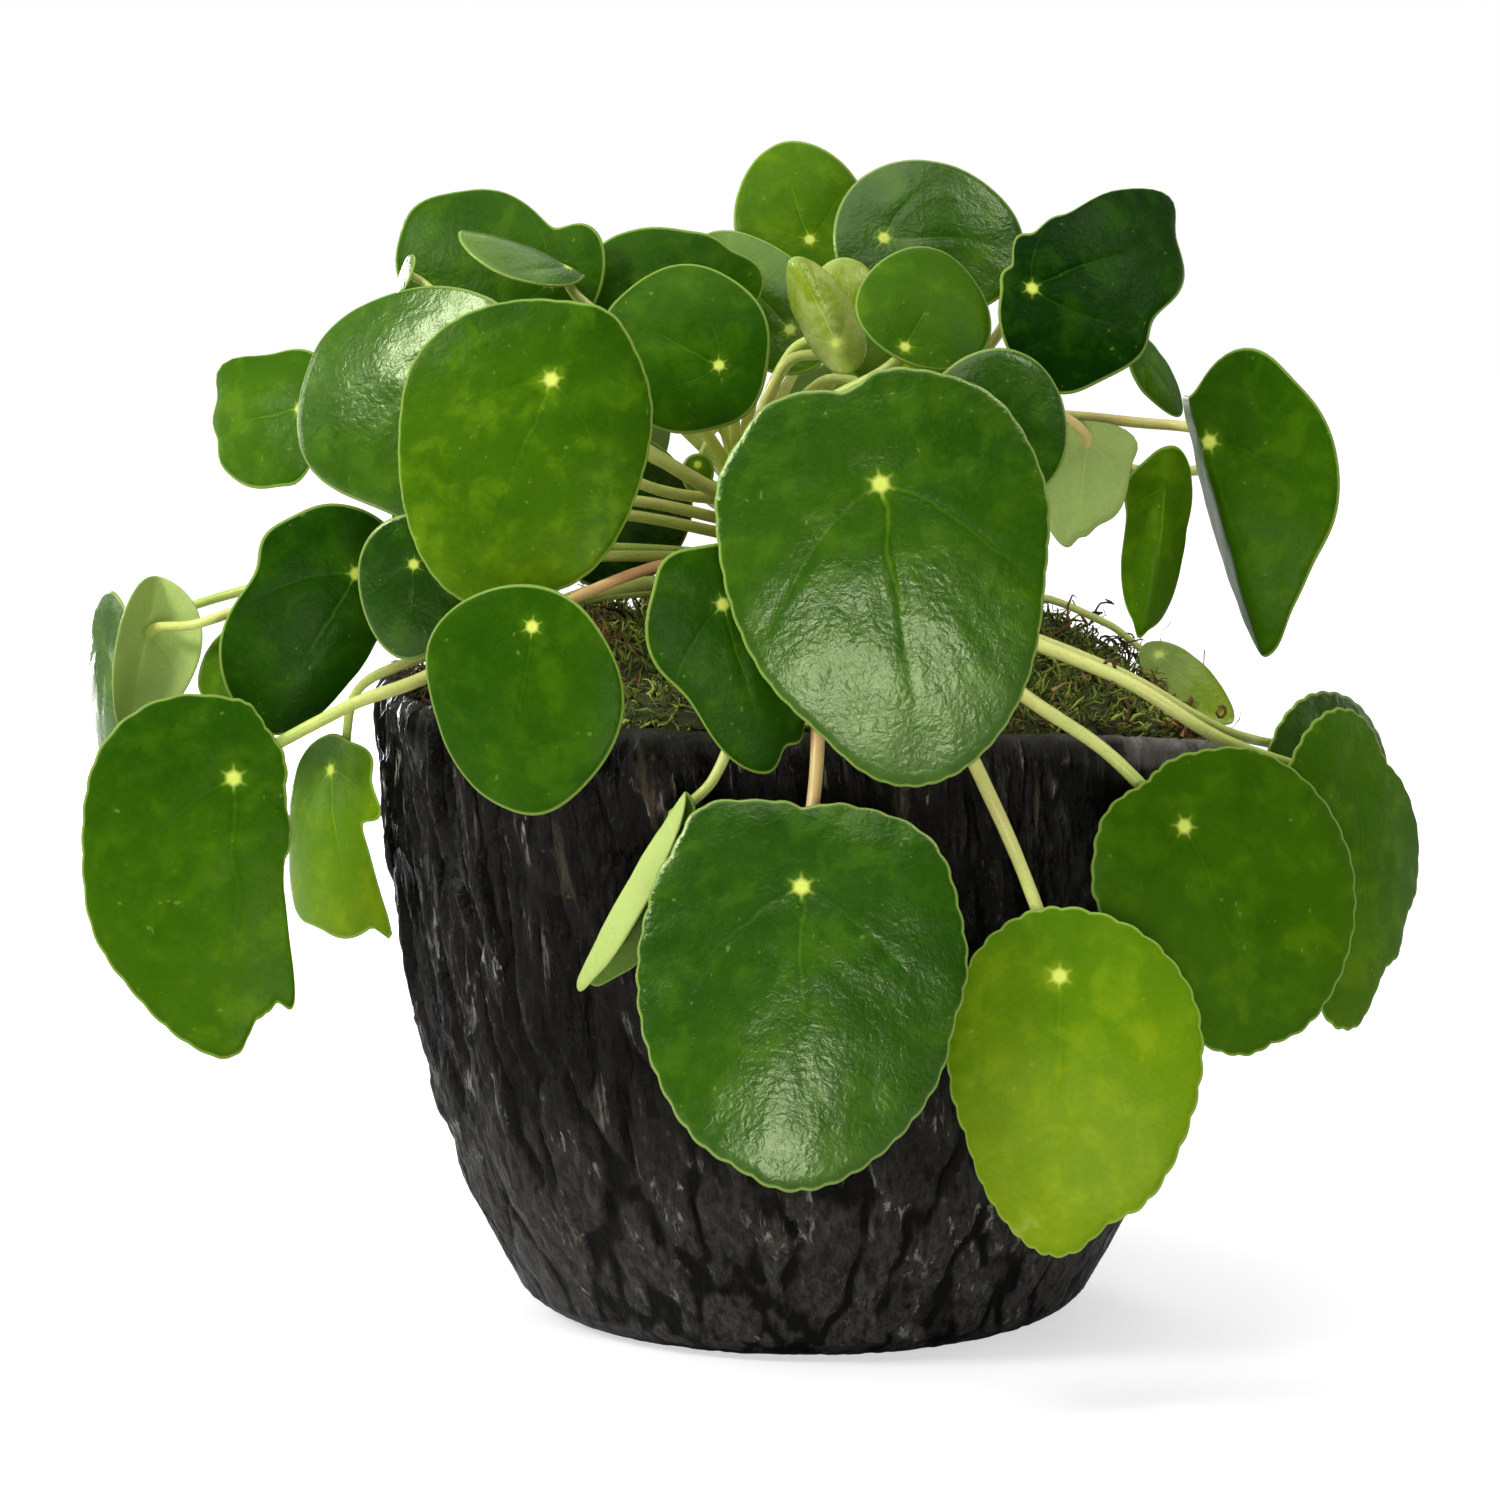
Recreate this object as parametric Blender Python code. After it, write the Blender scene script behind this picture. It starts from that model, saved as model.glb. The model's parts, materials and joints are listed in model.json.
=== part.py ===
"""A pilea in a bark-textured pot: round blades on long stalks over a mound of moss.

All sizes in the tables are millimetres and degrees. The front of the plant faces -Y and the pot
stands on Z = 0.
"""

import math
from typing import NamedTuple

import bmesh
import bpy
import numpy as np

MM = 0.001
GAP = 0.3
POT_SEGMENTS = 64
SOIL_SEGMENTS = 32
MOSS_SEGMENTS = 40
POT_HEIGHT = 141.0
POT_WALL = 6.5
POT_FLOOR = 8.0
SOIL_TOP = 128.0
RIM_DIP = 10.0
BLADE_THICKNESS = 1.0
TRUNK_HOLE = 8.2

# Outer radius of the pot against height.
POT_OUTER = (
    (0.0, 55.0),
    (1.5, 59.5),
    (5.0, 64.0),
    (14.0, 69.0),
    (30.0, 76.8),
    (48.0, 83.5),
    (68.0, 88.8),
    (92.0, 92.3),
    (116.0, 94.6),
    (136.0, 96.2),
    (141.0, 94.6),
)

# The trunk from its foot in the soil to its growing tip: x, y, z and radius.
TRUNK = (
    (8.0, 0.0, 100.0, 6.0),
    (8.0, 0.0, 128.0, 7.0),
    (6.0, -1.0, 148.0, 7.5),
    (0.0, -1.0, 162.0, 6.8),
    (-8.0, 0.0, 174.0, 6.0),
    (-14.0, 0.0, 184.0, 4.6),
    (-16.0, 0.0, 190.0, 2.4),
)


class Leaf(NamedTuple):
    """One blade and its stalk.

    dot is where the stalk meets the blade. faces is the way its upper face looks: the azimuth from the
    front towards +X, the elevation, and the roll of the tip from straight down towards +X. size is the
    length and width. bend arches the blade along its tip. curl rolls each half back and fold creases it
    at the midrib, left and right. root is the share of the way up the trunk where the stalk starts.
    lobes move the edge out or in: an angle from the tip, millimetres, and half the width in degrees.
    """

    name: str
    dot: tuple
    faces: tuple
    size: tuple
    bend: float = 22.0
    curl: tuple = (14.0, 14.0)
    fold: tuple = (0.0, 0.0)
    aside: float = 0.0
    egg: float = 0.15
    dot_share: float = 0.25
    wave: float = 0.012
    root: float = 0.7
    via: tuple = ()
    lift: float = 10.0
    sway: float = 0.0
    stalk: float = 1.1
    lobes: tuple = ()


LEAVES = (
    Leaf("leaf_01", (-123, -58, 127), (5, 14, 0), (77, 47), curl=(10, 12), aside=-9, root=0.5, stalk=1.4,
         via=((-45, -30, 165), (-83, -43, 147), (-100, -49, 141)),
         lobes=((-140, 2, 25), (-70, 2.6, 20), (-8, 0.5, 6), (20, -4, 13), (54, 8, 8),
                (78, -7, 15), (108, -3.5, 16), (150, -3, 20), (180, -2, 14))),
    Leaf("leaf_02", (-105, -20, 124), (-50, 10, 20), (46, 40), dot_share=0.18, root=0.47,
         via=((-45, -22, 163), (-86, -25, 149), (-99, -23, 142)),
         lobes=((-76, 7, 22), (25, 6.5, 7), (56, -14, 20), (100, -8, 25), (150, -3, 20))),
    Leaf("leaf_03", (-146, -14, 154), (-160, -5, 14), (36, 27), fold=(35, 45), dot_share=0.35, root=0.6,
         via=((-60, -8, 172), (-100, -12, 164), (-121, -24, 161), (-134, -26, 157))),
    Leaf("leaf_04", (-98, -36, 169), (12, 8, -31), (53, 39), curl=(12, 80), aside=-6, root=0.65,
         lobes=((-130, -3, 20), (-88, -6.5, 24), (150, -3.5, 25))),
    Leaf("leaf_05", (-121, -28, 149), (-30, 10, -70), (22, 19), root=0.6),
    Leaf("leaf_06", (-84, -58, 173), (-10, 5, -5), (31, 24), dot_share=0.35, root=0.7),
    Leaf("leaf_07", (-111, -22, 204), (-30, 25, -75), (33, 32), root=0.8,
         lobes=((-60, 8, 17), (6, -2, 15), (118, 2, 15))),
    Leaf("leaf_08", (-75.6, -46, 217.6), (-25, 20, -22), (54, 56), aside=-8, root=0.8,
         via=((-37, -36, 189), (-59, -41, 206)),
         lobes=((-130, -4.5, 32), (-46, 3.5, 24), (3, -3.5, 26))),
    Leaf("leaf_09", (-54, -72, 213), (-8, 15, -20), (66, 52), curl=(12, 25), aside=-2, root=0.75, stalk=1.4,
         via=((-35, -48, 197),),
         lobes=((-112, 2.2, 25), (65, 5.2, 28), (168, 1.8, 14))),
    Leaf("leaf_10", (-57, -102, 164), (-15, 8, -5), (47, 42), dot_share=0.18, root=0.6,
         via=((-30, -58, 173), (-47, -83, 169)),
         lobes=((-116, 2.6, 26), (20, 1.3, 25), (125, -3, 32))),
    Leaf("leaf_11", (-56, -15, 231.5), (-10, 20, -108), (48, 41), dot_share=0.23, root=0.9,
         via=((-44, 2, 214), (-56, -2, 224)),
         lobes=((-100, -10, 26), (-26, 2.6, 20))),
    Leaf("leaf_12", (-52, -30, 235), (64, 62, -157), (28, 24), fold=(14, 14), dot_share=0.14, root=0.9,
         via=((-34, -30, 216), (-50, -31, 229))),
    Leaf("leaf_13", (-87, -26, 233.5), (-70, 20, -90), (12, 9), root=0.9, stalk=0.8,
         via=((-20, -7, 201), (-48, -30, 211), (-74, -32, 224))),
    Leaf("leaf_14", (-27, -14, 223), (0, 15, -120), (38, 35), root=0.95,
         lobes=((-145, 8, 20), (-110, 2, 15), (0, -2.8, 25))),
    Leaf("leaf_15", (-19, -52, 215), (-5, 15, -116), (36, 35), root=0.9,
         lobes=((-64, 3.3, 30), (165, 2.2, 22))),
    Leaf("leaf_16", (-3.5, -4, 220.5), (-10, 20, -135), (41, 24), root=0.95),
    Leaf("leaf_17", (1, 12, 240), (0, 20, -162), (33, 30), root=0.95),
    Leaf("leaf_18", (17, -14, 241), (5, 25, 90), (44, 38), root=0.95, via=((5, -2, 208), (14, -6, 222))),
    Leaf("leaf_19", (20.5, -55.5, 219), (10, 30, 149), (31, 30), dot_share=0.1, root=0.9,
         via=((4, -46, 207),)),
    Leaf("leaf_20", (21, -38, 213), (0, 35, 175), (22, 24), root=0.9),
    Leaf("leaf_21", (6.2, -46, 219.7), (20, 20, -159), (28, 19), fold=(15, 75), root=0.95),
    Leaf("leaf_22", (106, 30, 192), (70, 20, 10), (36, 30), root=0.75,
         via=((50, 14, 188), (92, 30, 187))),
    Leaf("leaf_23", (48, -44, 231), (15, 25, 112), (49, 48), dot_share=0.19, root=0.9,
         via=((36, -32, 215),),
         lobes=((-148, 6.5, 26), (-58, -4.8, 20), (22, 9, 15), (60, -6.5, 13), (88, -14, 26),
                (134, -11, 28), (176, -2, 14))),
    Leaf("leaf_24", (88, -26, 197), (-10, 10, 17), (66, 50), curl=(5, 14), fold=(78, 0), egg=0.3, root=0.7,
         via=((40, 0, 200), (80, 4, 199), (91, -10, 198)),
         lobes=((-178, -6, 14), (-125, -7, 28), (24, -4, 18), (50, -4.5, 22), (160, 4, 16))),
    Leaf("leaf_25", (77.5, -36, 187.5), (20, 5, -8), (41, 26), fold=(45, 28), root=0.7,
         via=((40, -5, 192), (74, -16, 190)),
         lobes=((-150, -2.4, 28), (-80, -6.5, 38), (-6, 2.5, 7), (85, -3.6, 50))),
    Leaf("leaf_26", (76.5, 17, 213), (50, 10, 48), (25, 12), root=0.8),
    Leaf("leaf_27", (60, -42, 198), (-165, 5, 5), (28, 21), dot_share=0.15, root=0.75,
         via=((30, -42, 204), (52, -50, 205)),
         lobes=((-140, 3.5, 20), (-30, -4, 30), (0, -2, 12))),
    Leaf("leaf_28", (14, -112, 194), (3, 14, 9), (86, 68), dot_share=0.28, root=0.7, stalk=1.5, wave=0.01,
         lobes=((-174, -3.6, 9), (-150, 2, 9), (-128, 2.3, 16), (-44, -2.2, 18), (80, -3, 24),
                (140, 1.6, 14))),
    Leaf("leaf_29", (36, -82, 198), (10, 15, 150), (33, 31), root=0.75),
    Leaf("leaf_30", (-18, -106, 169), (12, 5, 17), (48, 36), curl=(15, 80), root=0.55,
         via=((-10, -50, 178),),
         lobes=((-160, 2.2, 14), (-66, -5.2, 30), (16, -3.8, 12))),
    Leaf("leaf_31", (-2, -122, 113), (0, 20, 0), (78, 68), egg=0.06, dot_share=0.23, root=0.4, stalk=1.4,
         via=((4, -60, 165), (2, -92, 150), (1, -106, 132)), wave=0.014,
         lobes=((-152, 5, 12), (-130, 1.6, 12), (-24, -1.5, 12), (78, -1.6, 12), (140, 3.6, 18),
                (178, -1.6, 6))),
    Leaf("leaf_32", (-28.4, -101, 124.8), (-15, 8, -31), (46, 18), curl=(-20, 10), fold=(-150, 0), egg=-0.2,
         aside=1.2, dot_share=0.12, root=0.42, via=((-6, -60, 164), (-13, -91, 149), (-20, -99, 132)),
         lobes=((-70, -2.2, 30), (-16, 4, 14), (16, 2.5, 12))),
    Leaf("leaf_33", (51, -112, 93), (-2, 20, -2), (72, 51), curl=(15, 10), aside=4, egg=0.2, dot_share=0.2,
         root=0.42, stalk=1.4, wave=0.016,
         via=((18, -60, 164), (27, -88, 149), (36, -99, 131), (44, -101, 113)),
         lobes=((-68, -1, 12), (30, -3.2, 14))),
    Leaf("leaf_34", (78, -90, 121), (15, 12, 22), (67, 56), aside=4, egg=0.06, root=0.45, stalk=1.4,
         via=((28, -55, 162), (44, -78, 148), (62, -84, 136)), wave=0.012,
         lobes=((-168, -4.8, 22), (-112, 1.2, 10), (0, -1.2, 10), (85, 2.4, 36), (158, -2, 16))),
    Leaf("leaf_35", (118, -50, 124), (45, 10, -2), (70, 50), root=0.5, stalk=1.4,
         via=((30, -45, 161), (67, -60, 148.5), (89, -60, 135.3)),
         lobes=((-26, 1, 10), (8, -1.5, 10), (25, -9, 20), (58, -6, 16), (136, -8, 28))),
    Leaf("leaf_36", (79, -6, 148), (-10, 50, 40), (31.5, 12.5), bend=6, dot_share=0.15, root=0.4,
         stalk=0.8, via=((50, 8, 160), (68, 6, 154))),
    Leaf("leaf_37", (-40, 14, 187), (-10, 5, -20), (36, 34), root=0.65, via=((-19, 18, 183),)),
    Leaf("leaf_38", (-24, -11, 191), (0, 10, 0), (9, 7), root=0.9, stalk=0.6),
    Leaf("leaf_39", (-158, 14, 150), (-60, 5, -5), (42, 26), root=0.6),
    Leaf("leaf_40", (115, -26, 127), (45, 10, 5), (60, 46), root=0.5,
         via=((35, -40, 160), (67, -50, 149), (90, -46, 136))),
    Leaf("leaf_41", (-66, 96, 112), (-148, 15, 5), (68, 56), root=0.4,
         via=((-25, 50, 164), (-55, 78, 150))),
    Leaf("leaf_42", (0, 112, 118), (178, 15, 3), (74, 62), root=0.38,
         via=((2, 50, 166), (1, 92, 151))),
    Leaf("leaf_43", (64, 100, 104), (147, 15, -4), (66, 56), root=0.4,
         via=((30, 50, 161), (52, 80, 150))),
    Leaf("leaf_44", (-84, 52, 176), (-130, 20, 10), (46, 40), root=0.6, via=((-32, 32, 184),)),
    Leaf("leaf_45", (-52, 72, 200), (-160, 25, 5), (52, 46), root=0.75),
    Leaf("leaf_46", (12, 76, 196), (170, 25, -5), (60, 52), root=0.75),
    Leaf("leaf_47", (42, 58, 196), (135, 20, 0), (38, 34), root=0.7),
    Leaf("leaf_48", (-32, 50, 221), (-170, 30, 150), (34, 32), root=0.9),
    Leaf("leaf_49", (24, 46, 236), (160, 30, -150), (34, 32), root=0.9),
    Leaf("leaf_50", (-68, 40, 222), (-140, 30, 80), (42, 38), root=0.85),
    Leaf("leaf_51", (8.9, -26, 223.8), (20, 20, 172), (20, 16), root=0.95),
)

LEAF_GREEN = (0.05, 0.13, 0.01)

# Leaves that are paler or darker than the rest, in linear colour.
OTHER_GREENS = {
    "leaf_02": (0.16, 0.25, 0.01),
    "leaf_03": (0.13, 0.22, 0.01),
    "leaf_23": (0.02, 0.06, 0.01),
    "leaf_27": (0.26, 0.37, 0.10),
    "leaf_32": (0.36, 0.47, 0.10),
    "leaf_33": (0.10, 0.22, 0.01),
    "leaf_36": (0.18, 0.24, 0.02),
    "leaf_37": (0.02, 0.06, 0.01),
}


def leaf_axes(leaf):
    """Return the directions of the tip, of the side and of the upper face of a blade."""
    azimuth, elevation, roll = (math.radians(a) for a in leaf.faces)
    face = np.array(
        (
            math.cos(elevation) * math.sin(azimuth),
            -math.cos(elevation) * math.cos(azimuth),
            math.sin(elevation),
        )
    )
    down = np.array(
        (
            math.sin(elevation) * math.sin(azimuth),
            -math.sin(elevation) * math.cos(azimuth),
            -math.cos(elevation),
        )
    )
    right = np.array((math.cos(azimuth), math.sin(azimuth), 0.0))
    tip = math.cos(roll) * down + math.sin(roll) * right
    return tip, np.cross(face, tip), face


def outline(leaf, turn, waves):
    """Return the flat edge of a blade about its dot, towards the tip and to the side."""
    length, width = leaf.size
    number = int(leaf.name[-2:])
    centre = length * (0.5 - leaf.dot_share)
    u = centre + 0.5 * length * np.cos(turn)
    half = 0.5 * width + leaf.aside * np.sign(np.sin(turn))
    v = half * np.sin(turn) * (1.0 - leaf.egg * np.cos(turn))
    odd = 0.015 * np.sin(2.0 * turn + 1.7 * number) + 0.01 * np.sin(3.0 * turn + 2.3 * number)
    scale = 1.0 + leaf.wave * np.cos(waves * turn) + odd
    for angle, out, half_width in leaf.lobes:
        gap = (np.degrees(turn) - angle + 180.0) % 360.0 - 180.0
        scale = scale + out * np.exp(-((gap / half_width) ** 2)) / np.maximum(np.hypot(u, v), 1.0)
    return u * scale, v * scale


def bend_blade(leaf, u, v):
    """Bend flat points of a blade into place and return them in the frame of the plant."""
    length, width = leaf.size
    tip, side, face = leaf_axes(leaf)
    rate = math.radians(leaf.bend) / length
    turn = rate * u
    along = np.where(abs(rate) > 1e-6, np.sin(turn) / (rate + 1e-12), u)
    drop = np.where(abs(rate) > 1e-6, (1.0 - np.cos(turn)) / (rate + 1e-12), 0.0)
    share = np.abs(v) / (0.5 * width)
    curl = np.radians(np.where(v < 0.0, leaf.curl[0], leaf.curl[1]))
    fold = np.radians(np.where(v < 0.0, leaf.fold[0], leaf.fold[1]))
    across = np.zeros_like(share)
    back = np.zeros_like(share)
    steps = 10
    for step in range(steps):
        part = share * (step + 0.5) / steps
        angle = fold * np.tanh(part / 0.08) + curl * part
        across += np.cos(angle) * np.abs(v) / steps
        back += np.sin(angle) * np.abs(v) / steps
    reach = np.hypot(u, v)
    number = int(leaf.name[-2:])
    around = np.arctan2(v, u)
    swell = 0.7 * (1.0 - np.exp(-((reach / 8.0) ** 2)))
    ripple = 0.016 * length * (reach / (0.5 * length)) ** 2 * np.sin(3.0 * around + 1.3 * number)
    back = back - swell - ripple
    points = np.outer(along, tip) - np.outer(drop, face)
    points += np.outer(np.sign(v) * across, side)
    normals = np.outer(np.cos(turn), face) + np.outer(np.sin(turn), tip)
    points -= normals * back[:, None]
    return points + np.array(leaf.dot, dtype=float)


def blade_rings(leaf):
    """Return how many edge points each ring of a blade has, from the dot outwards."""
    length = leaf.size[0]
    first = 8 if length > 70 else 6 if length > 44 else 5
    return first, 2 * first, 4 * first


def blade_sheet(leaf):
    """Return the middle surface of a blade as points and triangles, wound around its upper face."""
    rings = blade_rings(leaf)
    flat_u = [np.zeros(1)]
    flat_v = [np.zeros(1)]
    for count, scale in zip(rings, (0.34, 0.68, 1.0)):
        turn = np.arange(count) * 2.0 * math.pi / count
        u, v = outline(leaf, turn, rings[2] // 2)
        flat_u.append(u * scale)
        flat_v.append(v * scale)
    points = bend_blade(leaf, np.concatenate(flat_u), np.concatenate(flat_v))
    faces = [(0, 1 + i, 1 + (i + 1) % rings[0]) for i in range(rings[0])]
    inner = 1
    for count in rings[:2]:
        outer = inner + count
        for i in range(count):
            here = inner + i
            after = inner + (i + 1) % count
            left = outer + 2 * i
            middle = left + 1
            right = outer + (2 * i + 2) % (2 * count)
            faces += [(here, left, middle), (here, middle, after), (after, middle, right)]
        inner = outer
    return points, faces


def sheet_normals(points, faces):
    """Return the mean normal of a sheet at each of its points."""
    corners = np.array(faces)
    a, b, c = (points[corners[:, k]] for k in range(3))
    flat = np.cross(b - a, c - a)
    normals = np.zeros_like(points)
    for k in range(3):
        np.add.at(normals, corners[:, k], flat)
    return normals / np.linalg.norm(normals, axis=1)[:, None]


def blade_solid(leaf):
    """Return a blade as a closed plate, its two faces split into triangles alike."""
    points, faces = blade_sheet(leaf)
    normals = sheet_normals(points, faces)
    half = 0.5 * BLADE_THICKNESS
    count = len(points)
    solid = np.concatenate((points + half * normals, points - half * normals))
    shell = list(faces) + [(a + count, c + count, b + count) for a, b, c in faces]
    edge = blade_rings(leaf)[2]
    first = count - edge
    for i in range(edge):
        here = first + i
        after = first + (i + 1) % edge
        shell += [(here, here + count, after), (after, here + count, after + count)]
    return solid, shell


def smooth_path(knots, steps, last_ahead=None):
    """Return points of a smooth curve through the knots, which can end along a given direction."""
    knots = np.array(knots, dtype=float)
    spans = np.linalg.norm(np.diff(knots, axis=0), axis=1)
    ahead = np.zeros_like(knots)
    ahead[0] = (knots[1] - knots[0]) / spans[0]
    ahead[-1] = (knots[-1] - knots[-2]) / spans[-1] if last_ahead is None else last_ahead
    for i in range(1, len(knots) - 1):
        ahead[i] = (knots[i + 1] - knots[i - 1]) / (spans[i] + spans[i - 1])
    path = []
    for i, span in enumerate(spans):
        for t in np.arange(steps) / steps:
            point = (2 * t**3 - 3 * t**2 + 1) * knots[i] + (3 * t**2 - 2 * t**3) * knots[i + 1]
            point += span * (t**3 - 2 * t**2 + t) * ahead[i] + span * (t**3 - t**2) * ahead[i + 1]
            path.append(point)
    path.append(knots[-1])
    return np.array(path)


def trunk_point(share):
    """Return the point of the trunk's middle line at a share of its way up."""
    line = np.array(TRUNK)[:, :3]
    place = share * (len(line) - 1)
    index = min(int(place), len(line) - 2)
    return line[index] + (line[index + 1] - line[index]) * (place - index)


def stalk_path(leaf):
    """Return the middle line of a leaf stalk from inside the trunk to just under its blade."""
    tip, side, face = leaf_axes(leaf)
    root = trunk_point(leaf.root)
    left, right = (math.radians(max(angle, 0.0)) for angle in leaf.fold)
    behind = 0.5 * BLADE_THICKNESS + GAP + 1.2 * leaf.stalk * math.tan(min(left, right))
    beside = 1.6 * leaf.stalk * (math.sin(left) - math.sin(right))
    seat = np.array(leaf.dot) - face * behind + side * beside
    middle = [np.array(point, dtype=float) for point in leaf.via]
    if not middle:
        flat = seat - root
        across = np.array((-flat[1], flat[0], 0.0))
        across /= np.linalg.norm(across) + 1e-9
        middle = [root + 0.5 * flat + np.array((0.0, 0.0, leaf.lift)) + leaf.sway * across]
    arrive = face + 0.5 * tip
    return smooth_path([root, *middle, seat], 3, arrive / np.linalg.norm(arrive))


def ring(centre, ahead, radius, sides, up=(0.0, 0.0, 1.0)):
    """Return a ring of points around a centre, square to the way ahead."""
    ahead = ahead / np.linalg.norm(ahead)
    up = np.array(up)
    if abs(ahead @ up) > 0.95:
        up = np.array((0.0, 1.0, 0.0))
    first = np.cross(up, ahead)
    first /= np.linalg.norm(first)
    second = np.cross(ahead, first)
    turn = np.arange(sides) * 2.0 * math.pi / sides
    return centre + radius * (np.outer(np.cos(turn), first) + np.outer(np.sin(turn), second))


def tube_solid(path, radii, sides, last_faces=None):
    """Return a closed tube along a path; its last ring can lie square to a given direction."""
    rings = []
    for i, point in enumerate(path):
        ahead = path[min(i + 1, len(path) - 1)] - path[max(i - 1, 0)]
        if last_faces is not None and i == len(path) - 1:
            ahead = last_faces
        rings.append(ring(point, ahead, radii[i], sides))
    for i in range(1, len(rings)):
        costs = [np.linalg.norm(np.roll(rings[i], k, axis=0) - rings[i - 1]) for k in range(sides)]
        rings[i] = np.roll(rings[i], int(np.argmin(costs)), axis=0)
    points = np.concatenate(rings)
    faces = []
    for i in range(len(rings) - 1):
        for k in range(sides):
            here = i * sides + k
            beside = i * sides + (k + 1) % sides
            faces += [(here, beside, beside + sides), (here, beside + sides, here + sides)]
    last = (len(rings) - 1) * sides
    faces += [(0, k + 1, k) for k in range(1, sides - 1)]
    faces += [(last, last + k, last + k + 1) for k in range(1, sides - 1)]
    return points, faces


def stalk_solid(leaf, sides=5):
    """Return one leaf stalk as a closed tube, thicker at its root and flared at its seat."""
    path = stalk_path(leaf)
    face = leaf_axes(leaf)[2]
    share = np.linspace(0.0, 1.0, len(path))
    radii = leaf.stalk * (1.25 - 0.3 * share)
    radii[-1] = leaf.stalk * 1.15
    return tube_solid(path, radii, sides, face)


def bark_relief(angle, height):
    """Return how far the bark of the pot stands out at an angle and height."""
    lean = angle + 0.10 * np.sin(height / 21.0 + 2.0 * angle) + height * 0.0012
    ridges = 0.8 * np.sin(13.0 * lean) + 0.6 * np.sin(19.0 * lean + height / 15.0 + 1.0)
    ridges += 0.5 * np.sin(7.0 * lean - height / 26.0 + 2.0)
    fade = np.clip(height / 12.0, 0.0, 1.0) * np.clip((POT_HEIGHT - height) / 12.0, 0.25, 1.0)
    return ridges * fade


def rim_dip(angle, height):
    """Return how far the upper pot sinks at an angle and height: the rim is lower on one side."""
    gap = (np.degrees(angle) + 185.0) % 360.0 - 180.0
    return RIM_DIP * np.exp(-((gap / 42.0) ** 2)) * np.clip((height - 100.0) / 41.0, 0.0, 1.0)


def pot_radius(height):
    """Return the plain outer radius of the pot at a height."""
    heights, radii = zip(*POT_OUTER)
    return np.interp(height, heights, radii)


def closed_lathe(profile, segments, relief=None, sink=None):
    """Return a turned solid from rows of (radius, height, shaped), closed by a flat disc at each end."""
    turn = np.arange(segments) * 2.0 * math.pi / segments
    rows = []
    for radius, height, shaped in profile:
        radii = np.full(segments, float(radius))
        if shaped and relief is not None:
            radii += relief(turn, height)
        heights = np.full(segments, float(height))
        if sink is not None:
            heights -= sink(turn, height)
        rows.append(np.stack((radii * np.cos(turn), radii * np.sin(turn), heights), 1))
    points = np.concatenate(rows)
    faces = []
    for i in range(len(rows) - 1):
        for k in range(segments):
            here = i * segments + k
            beside = i * segments + (k + 1) % segments
            faces += [(here, beside, beside + segments), (here, beside + segments, here + segments)]
    last = len(points) - segments
    faces.append(tuple(reversed(range(segments))))
    faces.append(tuple(range(last, last + segments)))
    return points, faces


def pot_solid():
    """Return the pot: bark outside, rounded lip, smooth inside and a flat foot."""
    profile = [(radius, height, height > 0.5) for height, radius in POT_OUTER]
    inner_top = pot_radius(133.0) - POT_WALL
    profile.append((inner_top + 2.2, POT_HEIGHT + 0.4, False))
    profile.append((inner_top, POT_HEIGHT - 1.6, False))
    for height in (100.0, 48.0, 14.0):
        profile.append((pot_radius(height) - POT_WALL - 1.0, height, False))
    profile.append((pot_radius(POT_FLOOR) - POT_WALL - 5.0, POT_FLOOR, False))
    return closed_lathe(profile, POT_SEGMENTS, bark_relief, rim_dip)


def soil_solid():
    """Return the soil: it fills the pot to just under the moss and has a plain hole for the trunk."""
    profile = []
    floor = POT_FLOOR + GAP
    profile.append((pot_radius(floor) - POT_WALL - 5.0 - 2.0 * GAP, floor, False))
    for height in (14.0, 48.0, 100.0):
        profile.append((pot_radius(height) - POT_WALL - 1.0 - 1.5 * GAP, height, False))
    profile.append((pot_radius(SOIL_TOP) - POT_WALL - 1.0 - 1.5 * GAP, SOIL_TOP, False))
    profile.append((TRUNK_HOLE, SOIL_TOP, False))
    profile.append((TRUNK_HOLE, SOIL_TOP - 30.0, False))
    points, faces = closed_lathe(profile, SOIL_SEGMENTS)
    centre = np.array((TRUNK[0][0], TRUNK[0][1], 0.0))
    points[-2 * SOIL_SEGMENTS :] += centre
    return points, faces


def moss_height(radius, angle):
    """Return the height of the moss over the soil at a radius and angle about the pot's axis."""
    edge = np.clip((88.0 - radius) / 26.0, 0.0, 1.0)
    swell = 11.0 + 13.0 * np.sin(0.5 * math.pi * edge) ** 0.8
    lumps = 1.8 * np.sin(5.0 * angle + radius / 9.0) + 1.5 * np.sin(9.0 * angle - radius / 7.0 + 1.0)
    lumps += 1.2 * np.sin(3.0 * angle + 2.0)
    return (swell + lumps * (0.4 + 0.6 * edge)) * moss_share(radius, angle)


def moss_share(radius, angle):
    """Return how much of its height the moss keeps where the rim is lower."""
    low = rim_dip(angle, POT_HEIGHT) / RIM_DIP
    return 1.0 - 0.55 * low * np.clip((radius - 50.0) / 25.0, 0.0, 1.0)


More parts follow.
